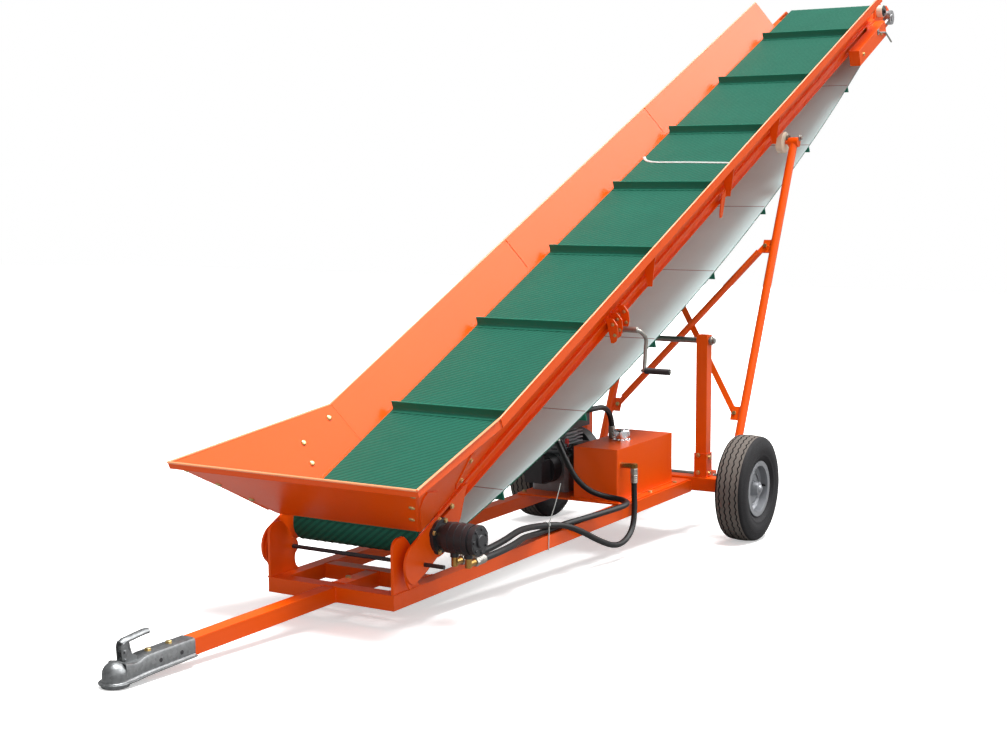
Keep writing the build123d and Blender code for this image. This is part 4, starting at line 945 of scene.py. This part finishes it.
class CONVEYOR_OT_fasteners(bpy.types.Operator):
    """Bolts, nuts and round heads on every body"""

    bl_idname = "conveyor.fasteners"
    bl_label = "Fasteners"

    def execute(self, context):
        inward = side_normal()
        heads, nuts = [], []
        for spot in ((349.5, -333.0, 177.7), (191.4, -336.4, 173.0), (162.2, -300.2, 111.2)):
            heads.append((tuple(Vector(spot) + inward * 1.5), tuple(inward)))
            nuts.append((tuple(Vector(spot) - inward * 6.5), tuple(-inward)))
        rise = CORNER - THROAT
        front = (-rise).cross(Vector((0, 1, 0))).normalized()
        front = front if front.x < 0 else -front
        for y, up in ((-318, 167), (-380, 258), (-441, 343)):
            along = THROAT.x + (up - THROAT.z) / rise.z * rise.x
            heads.append((tuple(Vector((along, y, up)) + front * 1.5), tuple(front)))
        repeat("round_heads", dome_bolt(10.5), mirrored(heads), "boom", "gold")

        plate = [(22, 46), (102, 46), (1356, 48), (1404, 48)]
        head_plate = [(4905, -34), (4815, -34)]
        trough = nuts + [((x, -PLATE_OUT, z), OUT) for x, z in plate]
        trough += [((x, -343, 10), OUT) for x in (4600, 4300)]
        trough += [((x, -PLATE_OUT, z), OUT) for x, z in head_plate]
        repeat("trough_bolts", hex_bolt(15), mirrored(trough), "boom", "gold")
        ring = []
        for i in range(4):
            angle = math.pi / 4 + i * math.pi / 2
            ring.append(((52 * math.cos(angle), -300, 52 * math.sin(angle)), OUT))
            ring.append(((43 * math.cos(angle), 300, 43 * math.sin(angle)), FAR_OUT))
        repeat("drive_bolts", hex_bolt(13), ring, "boom", "gold")
        cover = [((x, -MOTOR_END, z), OUT) for x, z in circle(38, 7)]
        repeat("motor_cover_bolts", hex_bolt(10), cover, "boom", "enamel")

        chassis = mirrored([
            ((2277, -317, 340), OUT), ((2278, -317, 270), OUT), ((2251, -278, 350), AHEAD),
            ((2251, -278, 274), AHEAD), ((1640, -230, 246), UP), ((1880, -229, 246), UP),
            ((2120, -229, 246), UP),
        ])
        chassis += [((-830, 0, 244), UP), ((-746, 0, 244), UP), ((120, 14, 240), UP)]
        repeat("chassis_bolts", hex_bolt(16), chassis, "chassis", "gold")
        # Black discs in the enamel finish stand for the drawbar's open holes: painted shade inside them
        holes = mirrored([((-809, -29, 215), OUT), ((-724, -29, 215), OUT)])
        repeat("coupler_holes", hole_disc(6.5), holes, "chassis", "enamel")
        x, y, z = ENGINE_FACE
        engine = [((x, y + 92 * math.cos(a), z + 92 * math.sin(a)), BACK) for a in (0.8, 2.4, 3.9, 5.5)]
        engine += [((x, 66, z), OUT) for x in (1722, 1878) for z in (268, 380)]
        repeat("engine_bolts", hex_bolt(10), engine, "chassis", "zinc")

        low, high = BRACE_LEVELS
        lugs = [(9, LUG_OUT, low), (9, -LUG_OUT, high), (3, -LUG_OUT, low), (3, LUG_OUT, high)]
        fronts = [((-x, y, z), AHEAD) for x, y, z in lugs]
        backs = [((12 - x, y, z), BACK) for x, y, z in lugs]
        repeat("brace_bolts", hex_bolt(16), fronts, "legs", "gold")
        repeat("brace_nuts", nut_end(16), backs, "legs", "gold")
        return {"FINISHED"}


class CONVEYOR_OT_welds(bpy.types.Operator):
    """Weld beads along the joints of frame, trough and legs"""

    bl_idname = "conveyor.welds"
    bl_label = "Welds"

    def execute(self, context):
        bead = Draft()
        profile = [(2.9 * math.sin(a * math.pi / 6), -2.9 * math.cos(a * math.pi / 6)) for a in range(7)]
        bead.lathe(profile, Matrix.Diagonal((1.25, 1.25, 0.6, 1.0)), steps=8)
        chassis = [
            ((0, -25, 192), (0, -25, 238)), ((0, 25, 192), (0, 25, 238)), ((0, -25, 240), (0, 25, 240)),
            ((0, -250, 241), (148, -250, 241)), ((0, 250, 241), (148, 250, 241)),
            ((2245, -248, 240), (2245, -202, 240)), ((2245, 202, 240), (2245, 248, 240)),
            ((2245, -250, 198), (2245, -250, 238)), ((2245, 250, 198), (2245, 250, 238)),
            ((50, -25, 240), (50, 25, 240)), ((240, -25, 240), (240, 25, 240)),
            ((50, -200, 192), (50, -200, 238)), ((240, -200, 240), (290, -200, 240)),
            ((240, 200, 240), (290, 200, 240)),
        ]
        trough, legs = [], []
        for side in SIDES:
            inner, outer = side * (POST_OUT - POST_HALF), side * (POST_OUT + POST_HALF)
            chassis += [
                ((2251, inner, 255), (2251, outer, 255)), ((2251, outer, 255), (2305, outer, 255)),
                ((2251, outer, 356), (2309, outer, 356)), ((2251, inner, 356), (2251, outer, 356)),
            ]
            trough.append(((-85, side * 283, 62), (210, side * 283, 62)))
            trough.append((on_side(THROAT, side), on_side(CORNER, side)))
            trough += [((x, side * 281, 24), (x, side * 281, 60)) for x in (1690, 2540, 3115)]
            for level in BRACE_LEVELS:
                legs += [((x, side * 314, level - 30), (x, side * 314, level + 30)) for x in (-4, 4)]
        step = context.scene.conveyor_sizes.bead_spacing / MM
        for name, lines, body in (
            ("chassis_welds", chassis, "chassis"), ("trough_welds", trough, "boom"),
            ("leg_welds", legs, "legs"),
        ):
            spots = []
            for start, stop in lines:
                start, stop = Vector(start), Vector(stop)
                count = max(2, round((stop - start).length / step))
                way = (stop - start).normalized()
                spots += [(start.lerp(stop, i / count), way.orthogonal(), way) for i in range(count + 1)]
            repeat(name, bead, spots, body, "paint", unevenness=0.12, seed=4)
        return {"FINISHED"}


def rolled_hems(radius):
    """Rolled edges of the hopper's rim and the walls' tops."""
    draft = Draft()
    ring = circle(radius, 12)
    out, up = WALL_TOP
    for side in SIDES:
        draft.sweep([on_side(BROW, side) + Vector((0, side * 2, 0)), on_side(CORNER, side)], ring)
        draft.sweep([(395, side * out, up), (WALL_HEAD, side * out, up)], circle(radius * 0.8, 12))
    draft.sweep([on_side(CORNER, -1), CORNER], ring)
    return draft


def panel_seams():
    """Strips on the walls' inner faces where two panels meet."""
    draft = Draft()
    for side in SIDES:
        foot, brow = on_side(FOLD, side), on_side(BROW, side)
        inward = Vector((side, 0, 0)).cross(brow - foot).normalized()
        for along in WALL_SEAMS:
            ends = []
            for end in (foot.lerp(brow, 0.12), brow):
                strip = rectangle(-2, 1.2, 2, 1.8)
                ends.append([Vector((along + x, end.y, end.z)) + inward * lift for x, lift in strip])
            draft.skin(ends)
    return draft


def hopper_plates():
    """Flat brackets and doublers on the outer faces of the hopper's sides."""
    draft = Draft()
    inward = side_normal()
    for side in (1, -1):
        outer = on_side(-inward, side)
        for spots in HOPPER_PLATES:
            flats = []
            for spot in spots:
                gap = (Vector(spot) - on_side(FOLD, -1)).dot(inward)
                flats.append(on_side(Vector(spot) - inward * gap, side))
            draft.skin([[flat + outer * depth for flat in flats] for depth in (1.6, 6.4)])
    return draft


def motor_covers():
    """Oil motor's lobed end cover with its boss, square flange and body ribs."""
    draft = Draft()
    lobes = []
    for i in range(70):
        angle = i * math.tau / 70
        reach = 46.5 + 4.0 * math.cos(7 * angle)
        lobes.append((reach * math.cos(angle), reach * math.sin(angle)))
    draft.prism(lobes, 424, MOTOR_END, NEAR)
    draft.lathe([(0, 442), (21, 442), (21, 448), (18, 450), (0, 450)], NEAR, steps=24)
    square = []
    centre, corner = 40 * math.sqrt(2) * 0.72, 20  # of the flange's rounded corners
    for quarter in range(4):
        middle = math.pi / 4 + quarter * math.pi / 2
        for i in range(-3, 4):
            angle = middle + i * math.pi / 12
            square.append((
                centre * math.cos(middle) + corner * math.cos(angle),
                centre * math.sin(middle) + corner * math.sin(angle),
            ))
    draft.prism(square, 288.4, 299.8, NEAR)
    for rib in (346, 372, 398):
        draft.lathe([(48, rib - 3), (51.6, rib - 2), (51.6, rib + 2), (48, rib + 3)], NEAR, steps=40)
    return draft


def take_up_screws():
    """Bent pin on the near take-up box, and the threaded tensioning screws with two nuts each."""
    draft = Draft()
    draft.sweep([(4560, -348, 32), (4655, -348, -2), (4668, -348, -9), (4739, -348, -85)], circle(4.6, 12))
    draft.prism(rectangle(4548, 20, 4576, 46), 342.5, 346, NEAR)
    start, stop = TAKE_UP
    thread = [(0, start)]
    for i in range(26):
        thread += [(8.4, start + i * 3.0), (9.6, start + 1.5 + i * 3.0)]
    thread += [(8.4, stop), (0, stop)]
    for side in SIDES:
        turn = Matrix.Translation((0, side * TAKE_UP_OUT, 0)) @ ALONG
        draft.lathe(thread, turn, steps=18)
        for along in (4692, 4676):
            draft.nut(14, along, along + 11.2, 1.2, turn)
    return draft


def winch_fins():
    """Fins of the winch bracket, and the hook further up the rail."""
    draft = Draft()
    outline = [(-288, 84), (-316, 84), (-330, 56), (-326, 20), (-312, -14), (-300, -22), (-288, -22)]
    for along in WINCH_FINS:
        draft.skin([[(along + x, y, z) for y, z in outline] for x in (0, 6)])
    hook = [
        (2484, 58), (2524, 62), (2502, 28), (2449, -27), (2436, -31), (2424, -27), (2429, -10), (2460, 36),
    ]
    draft.prism(hook, 287.5, 293, NEAR)
    return draft


def bent_crank():
    """Hand crank bent from round bar, with the pin of its grip and its shaft."""
    draft = Draft()
    arm = [
        (CRANK_AXIS, -352, 0), (1381, -368, -2), (1386, -378, -9), (1396, -382, -25), (1410, -382, -47),
        (1413, -382, -56), (1411, -382, -66), (1358, -382, -152), (1352, -382, -162),
    ]
    draft.sweep(arm, circle(8.0, 16))
    draft.sweep([(1351.4, -370, -162.5), (1351.4, -493, -162.5)], circle(6, 14))
    shaft = [(0, -312), (9, -312), (9, 306), (11.5, 306), (11.5, 372), (10, 374), (0, 374)]
    draft.lathe(shaft, Matrix.Translation((CRANK_AXIS, 0, 0)) @ NEAR, steps=24)
    return draft


class CONVEYOR_OT_trough(bpy.types.Operator):
    """Rolled hems, seams, hopper plates, motor covers, winch, crank and the fittings at the trough's head"""

    bl_idname = "conveyor.trough"
    bl_label = "Trough fittings"

    def execute(self, context):
        # The hems wear the pale edge paint, a painted highlight along the rims
        piece("rolled_hems", rolled_hems(context.scene.conveyor_sizes.hem_radius / MM), "boom", "edge")
        piece("panel_seams", panel_seams(), "boom", "seam")
        piece("hopper_brackets", hopper_plates(), "boom", "paint")
        piece("motor_covers", motor_covers(), "boom", "enamel")
        piece("take-up_screws", take_up_screws(), "boom", "zinc")
        piece("winch_fins", winch_fins(), "boom", "paint")
        bolts = [((along, -312, up), AHEAD) for along in WINCH_FINS for up in (14, 60)]
        repeat("winch_bolts", hex_bolt(12), bolts, "boom", "gold")
        piece("bent_crank", bent_crank(), "crank", "zinc", stands_for=("crank",))

        sleeves = Draft()
        for side in SIDES:
            top = Matrix.Translation((0, 0, LEG_RISE.length / MM)) @ outward(side)
            sleeves.lathe([(10.05, 293), (13, 293), (13, 307.5), (10.05, 307.5)], top, steps=24)
            sleeves.lathe([(0, 355.5), (15, 355.5), (15, 359), (9, 360), (9, 368), (0, 369)], top, steps=20)
        piece("roller_sleeves", sleeves, "legs", "zinc")

        ends = Draft()
        face = Matrix.Translation(HEAD_ROLLER) @ NEAR
        ends.lathe([(0, 321), (12, 321), (12, 326), (9, 330), (0, 331)], face, steps=20)
        for radius in (20, 25):
            ends.lathe([(radius - 1.2, 321.5), (radius, 323.2), (radius + 1.2, 321.5)], face, steps=36)
        piece("roller_ends", ends, "boom", "plastic")
        return {"FINISHED"}


class CONVEYOR_OT_coupler(bpy.types.Operator):
    """Pressed ball coupler with its domed nose, flange and latch"""

    bl_idname = "conveyor.coupler"
    bl_label = "Coupler"

    def execute(self, context):
        shell = Draft()
        rings = []
        for x, half, top, flange, foot in (  # stations from the drawbar to the dome
            (-668, 29, 244, 38, 190), (-760, 29, 244, 40, 189.5), (-852, 29, 244, 42, 189),
            (-870, 29, 241, 42.5, 188.5), (-886, 30, 236, 43, 188), (-902, 31, 234, 44, 187.5),
            (-920, 32.6, 236, 45, 187), (-936, 34.2, 240, 45.6, 187), (-948, 34.7, 243, 46, 187),
        ):
            outer = [
                (flange, foot), (flange, foot + 4), (half + 4, foot + 4), (half, foot + 8), (half, top - 9),
                (half - 2.6, top - 2.6), (half - 9, top),
            ]
            inner = [(half - 9, top - 3.6), (half - 5, top - 6), (half - 3.6, top - 9), (half - 3.6, foot)]
            ring = outer + [(-y, z) for y, z in reversed(outer)]
            ring += [(-y, z) for y, z in reversed(inner)] + inner
            rings.append([(x, y, z) for y, z in ring])
        shell.skin(rings)
        quarter = [i * math.pi / 20 for i in range(11)]
        dome, seat = (
            [(radius * math.cos(angle), 211 + radius * math.sin(angle)) for angle in quarter]
            for radius in (36, 30)
        )
        rim = [
            (30, 177.3), (37.5, 177.3), (38.5, 178.5), (38.5, 186), (45, 186.4), (46, 187.4), (46, 190.5),
            (45, 191.6), (39, 192), (36.8, 194), (36, 198),
        ]
        shell.lathe(rim + dome + list(reversed(seat)), Matrix.Translation(BALL), steps=48)
        piece("pressed_coupler", shell, "chassis", "galvanised", stands_for=("coupler",))

        latch = Draft()
        cheek = [
            (-938, 240), (-886, 229), (-882, 246), (-902, 256), (-914, 270), (-917, 288), (-926, 297),
            (-936, 294), (-941, 282),
        ]
        for side in (-11, 8):
            latch.prism(cheek, side, side + 3, NEAR)
        grip = [(-934, 288), (-924, 294), (-900, 296), (-866, 299), (-842, 301), (-830, 300)]
        grip = [(x, 0, z) for x, z in grip]
        latch.sweep(grip, circle(10.5, 14, wide=1.2, high=0.85), across=(0, 1, 0))
        latch.sweep([(-906, 0, 292), (-902, 0, 272), (-897, 0, 256), (-894, 0, 236)], circle(4.5, 12))
        for height in (266, 242):
            latch.disc(5, -16, 16, Matrix.Translation((-928, 0, height)) @ NEAR, steps=14)
        piece("latch", latch, "chassis", "galvanised", stands_for=("coupler_latch",))
        return {"FINISHED"}


class CONVEYOR_OT_power(bpy.types.Operator):
    """Engine dressing, filler cap grip and shaft collars"""

    bl_idname = "conveyor.power"
    bl_label = "Power pack"

    def execute(self, context):
        dress = Draft()
        face = Matrix.Translation(ENGINE_FACE) @ ALONG
        for radius in (96, 84, 72, 60, 48):
            ring = [(radius - 2.4, -1), (radius - 2.0, 3), (radius + 2.0, 3), (radius + 2.4, -1)]
            dress.lathe(ring, face, steps=56)
        dress.lathe([(0, -1), (36, -1), (36, 6), (30, 11), (0, 12)], face, steps=36)
        tank_cap = Matrix.Translation((1800, 150, 0))
        dress.lathe([(0, 586), (34, 586), (34, 600), (30, 606), (0, 607)], tank_cap, steps=36)
        dress.prism(rectangle(1738, 8, 1846, 62), 356, 446)
        for i in range(6):
            dress.prism(rectangle(1745, 5.5, 1839, 9), 366 + i * 13, 372 + i * 13)
        lead = [
            (1752, 150, 500), (1736, 132, 508), (1714, 110, 500), (1706, 96, 470), (1712, 78, 430),
            (1724, 68, 402),
        ]
        dress.sweep(lead, circle(4, 10))
        piece("engine_dressing", dress, "chassis", "plastic")
        lever = Draft()
        lever.sweep([(1712, 66, 440), (1700, 58, 455), (1684, 54, 462)], rectangle(-5, -1.5, 5, 1.5))
        knob = Matrix.Translation((1684, 54, 456))
        lever.lathe([(0, 0), (9, 0), (9, 16), (7, 19), (0, 19)], knob, steps=20)
        piece("throttle_lever", lever, "chassis", "red")

        grip = Draft()
        cap = Matrix.Translation(FILLER_CAP)
        for i in range(24):
            turn = cap @ Matrix.Rotation(i * math.tau / 24, 4, "Z")
            grip.prism([(32.5, -2.2), (34.4, -1.4), (34.4, 1.4), (32.5, 2.2)], 22, 39, turn)
        grip.lathe([(0, 45), (14, 45.5), (14, 47), (12, 48), (0, 48)], cap, steps=28)
        for i in range(6):
            turn = cap @ Matrix.Rotation(i * math.tau / 6, 4, "Z") @ Matrix.Translation((31.5, 0, 5.5))
            grip.lathe([(0, 0), (3.6, 0), (3.6, 2.2), (2.6, 3.2), (0, 3.2)], turn, steps=12)
        piece("filler_cap_grip", grip, "chassis", "chrome")

        collars = Draft()
        for side in SIDES:
            turn = Matrix.Translation(LEG_SHAFT) @ outward(side)
            collars.lathe([(15.1, 363), (23, 363), (23, 370.5), (21, 371.5), (15.1, 371.5)], turn, steps=28)
            turn = Matrix.Translation(REST_SHAFT) @ outward(side)
            collars.lathe([(12.6, 318), (19, 318), (19, 326), (17.5, 327), (12.6, 327)], turn, steps=28)
        piece("shaft_collars", collars, "chassis", "zinc")
        return {"FINISHED"}


class CONVEYOR_OT_stage(bpy.types.Operator):
    """Pale floor, soft light and the photo's camera"""

    bl_idname = "conveyor.stage"
    bl_label = "Stage"

    def keep(self, name, data):
        """Put an object of the stage into the scene."""
        obj = bpy.data.objects.new(name, data)
        bpy.context.scene.collection.objects.link(obj)
        return obj

    def floor(self):
        """Floor that keeps a shadow: pale to the camera, greyer to the machine above it."""
        mesh = bpy.data.meshes.new("floor")
        corners = rectangle(-FLOOR_HALF, -FLOOR_HALF, FLOOR_HALF, FLOOR_HALF)
        mesh.from_pydata([(x, y, FLOOR_DOWN) for x, y in corners], [], [(0, 1, 2, 3)])
        material, tree, shader = blank("pale floor", {"Roughness": 0.9, "Specular IOR Level": 0.1})
        direct = add_node(tree, "ShaderNodeLightPath").outputs["Is Camera Ray"]
        tones = {0: direct, 6: tint(FLOOR_BOUNCE), 7: tint(("floor", 1.0))}
        tone = add_node(tree, "ShaderNodeMix", tones, data_type="RGBA")
        tree.links.new(tone.outputs[2], shader.inputs["Base Color"])
        glow = add_node(tree, "ShaderNodeMath", {0: direct, 1: FLOOR_GLOW}, operation="MULTIPLY")
        tree.links.new(glow.outputs[0], shader.inputs["Emission Strength"])
        mesh.materials.append(material)
        self.keep("floor", mesh)

    def surroundings(self):
        """World: soft light, a bright patch in mirrored rays, and white behind the machine."""
        world = bpy.data.worlds.new("pale studio")
        bpy.context.scene.world = world
        world.use_nodes = True
        tree = world.node_tree
        tree.nodes.clear()
        ray = add_node(tree, "ShaderNodeLightPath").outputs
        way = add_node(tree, "ShaderNodeTexCoord").outputs["Object"]
        toward = add_node(tree, "ShaderNodeVectorMath", {0: way, 1: PATCH_WAY}, operation="DOT_PRODUCT")
        patch = add_node(tree, "ShaderNodeMapRange", {"Value": toward.outputs["Value"], **PATCH})
        white = (1.0, 1.0, 1.0, 1.0)
        soft, shine, seen = (
            add_node(tree, "ShaderNodeBackground", {"Color": white, "Strength": strength}).outputs[0]
            for strength in (SOFT_LIGHT, patch.outputs[0], 1.0)
        )
        mirror = add_node(tree, "ShaderNodeMixShader", {0: ray["Is Glossy Ray"], 1: soft, 2: shine})
        mix = add_node(tree, "ShaderNodeMixShader", {0: ray["Is Camera Ray"], 1: mirror.outputs[0], 2: seen})
        add_node(tree, "ShaderNodeOutputWorld", {"Surface": mix.outputs[0]})

    def camera(self):
        """Camera that was fitted to the photo in the level frame."""
        yaw, pitch, roll = (math.radians(angle) for angle in CAMERA_TURN)
        ahead = Vector((math.cos(yaw) * math.cos(pitch), math.sin(yaw) * math.cos(pitch), math.sin(pitch)))
        right = Vector((math.sin(yaw), -math.cos(yaw), 0.0))
        down = ahead.cross(right)
        level_right = math.cos(roll) * right + math.sin(roll) * down
        level_down = -math.sin(roll) * right + math.cos(roll) * down
        turn = LEVEL.to_3x3().normalized()
        axes = Matrix((turn @ level_right, turn @ -level_down, turn @ -ahead)).transposed().to_4x4()
        camera = bpy.data.cameras.new("photo camera")
        camera.sensor_fit = "HORIZONTAL"
        camera.sensor_width = SENSOR
        camera.lens = FOCAL_PIXELS / PHOTO_WIDTH * SENSOR
        camera.shift_x = (PHOTO_CENTRE[0] - OPTICAL_CENTRE[0]) / PHOTO_WIDTH
        camera.shift_y = (OPTICAL_CENTRE[1] - PHOTO_CENTRE[1]) / PHOTO_WIDTH
        camera.clip_end = 200.0
        obj = self.keep("photo camera", camera)
        obj.matrix_world = Matrix.Translation(LEVEL @ Vector(CAMERA_AT)) @ axes
        bpy.context.scene.camera = obj

    def execute(self, context):
        self.floor()
        self.surroundings()
        for name, direction, power, spread in LIGHTS:
            lamp = bpy.data.lights.new(name, "SUN")
            lamp.energy = power
            lamp.angle = math.radians(spread)
            self.keep(name, lamp).rotation_euler = Vector(direction).to_track_quat("-Z", "Y").to_euler()
        self.camera()
        context.scene.view_settings.view_transform = "Standard"
        return {"FINISHED"}


OPERATORS = (
    CONVEYOR_OT_finishes, CONVEYOR_OT_belt, CONVEYOR_OT_wheels, CONVEYOR_OT_hoses, CONVEYOR_OT_fasteners,
    CONVEYOR_OT_welds, CONVEYOR_OT_trough, CONVEYOR_OT_coupler, CONVEYOR_OT_power, CONVEYOR_OT_stage,
)


class CONVEYOR_PT_panel(bpy.types.Panel):
    """Lists the conveyor's operators and settings"""

    bl_label = "Conveyor"
    bl_idname = "CONVEYOR_PT_panel"
    bl_space_type = "VIEW_3D"
    bl_region_type = "UI"
    bl_category = "Conveyor"

    def draw(self, context):
        for group in (context.scene.conveyor_sizes, context.scene.conveyor_colours):
            for key in group.bl_rna.properties.keys():
                if key not in ("rna_type", "name"):
                    self.layout.prop(group, key)
        for operator in OPERATORS:
            self.layout.operator(operator.bl_idname)


CLASSES = (ConveyorSizes, ConveyorColours, *OPERATORS, CONVEYOR_PT_panel)


def register():
    for cls in CLASSES:
        bpy.utils.register_class(cls)
    bpy.types.Scene.conveyor_sizes = bpy.props.PointerProperty(type=ConveyorSizes)
    bpy.types.Scene.conveyor_colours = bpy.props.PointerProperty(type=ConveyorColours)


def unregister():
    del bpy.types.Scene.conveyor_colours
    del bpy.types.Scene.conveyor_sizes
    for cls in reversed(CLASSES):
        bpy.utils.unregister_class(cls)


def main():
    register()
    for operator in (
        bpy.ops.conveyor.finishes, bpy.ops.conveyor.belt, bpy.ops.conveyor.wheels, bpy.ops.conveyor.hoses,
        bpy.ops.conveyor.fasteners, bpy.ops.conveyor.welds, bpy.ops.conveyor.trough, bpy.ops.conveyor.coupler,
        bpy.ops.conveyor.power, bpy.ops.conveyor.stage,
    ):
        operator()


if __name__ == "__main__":
    main()
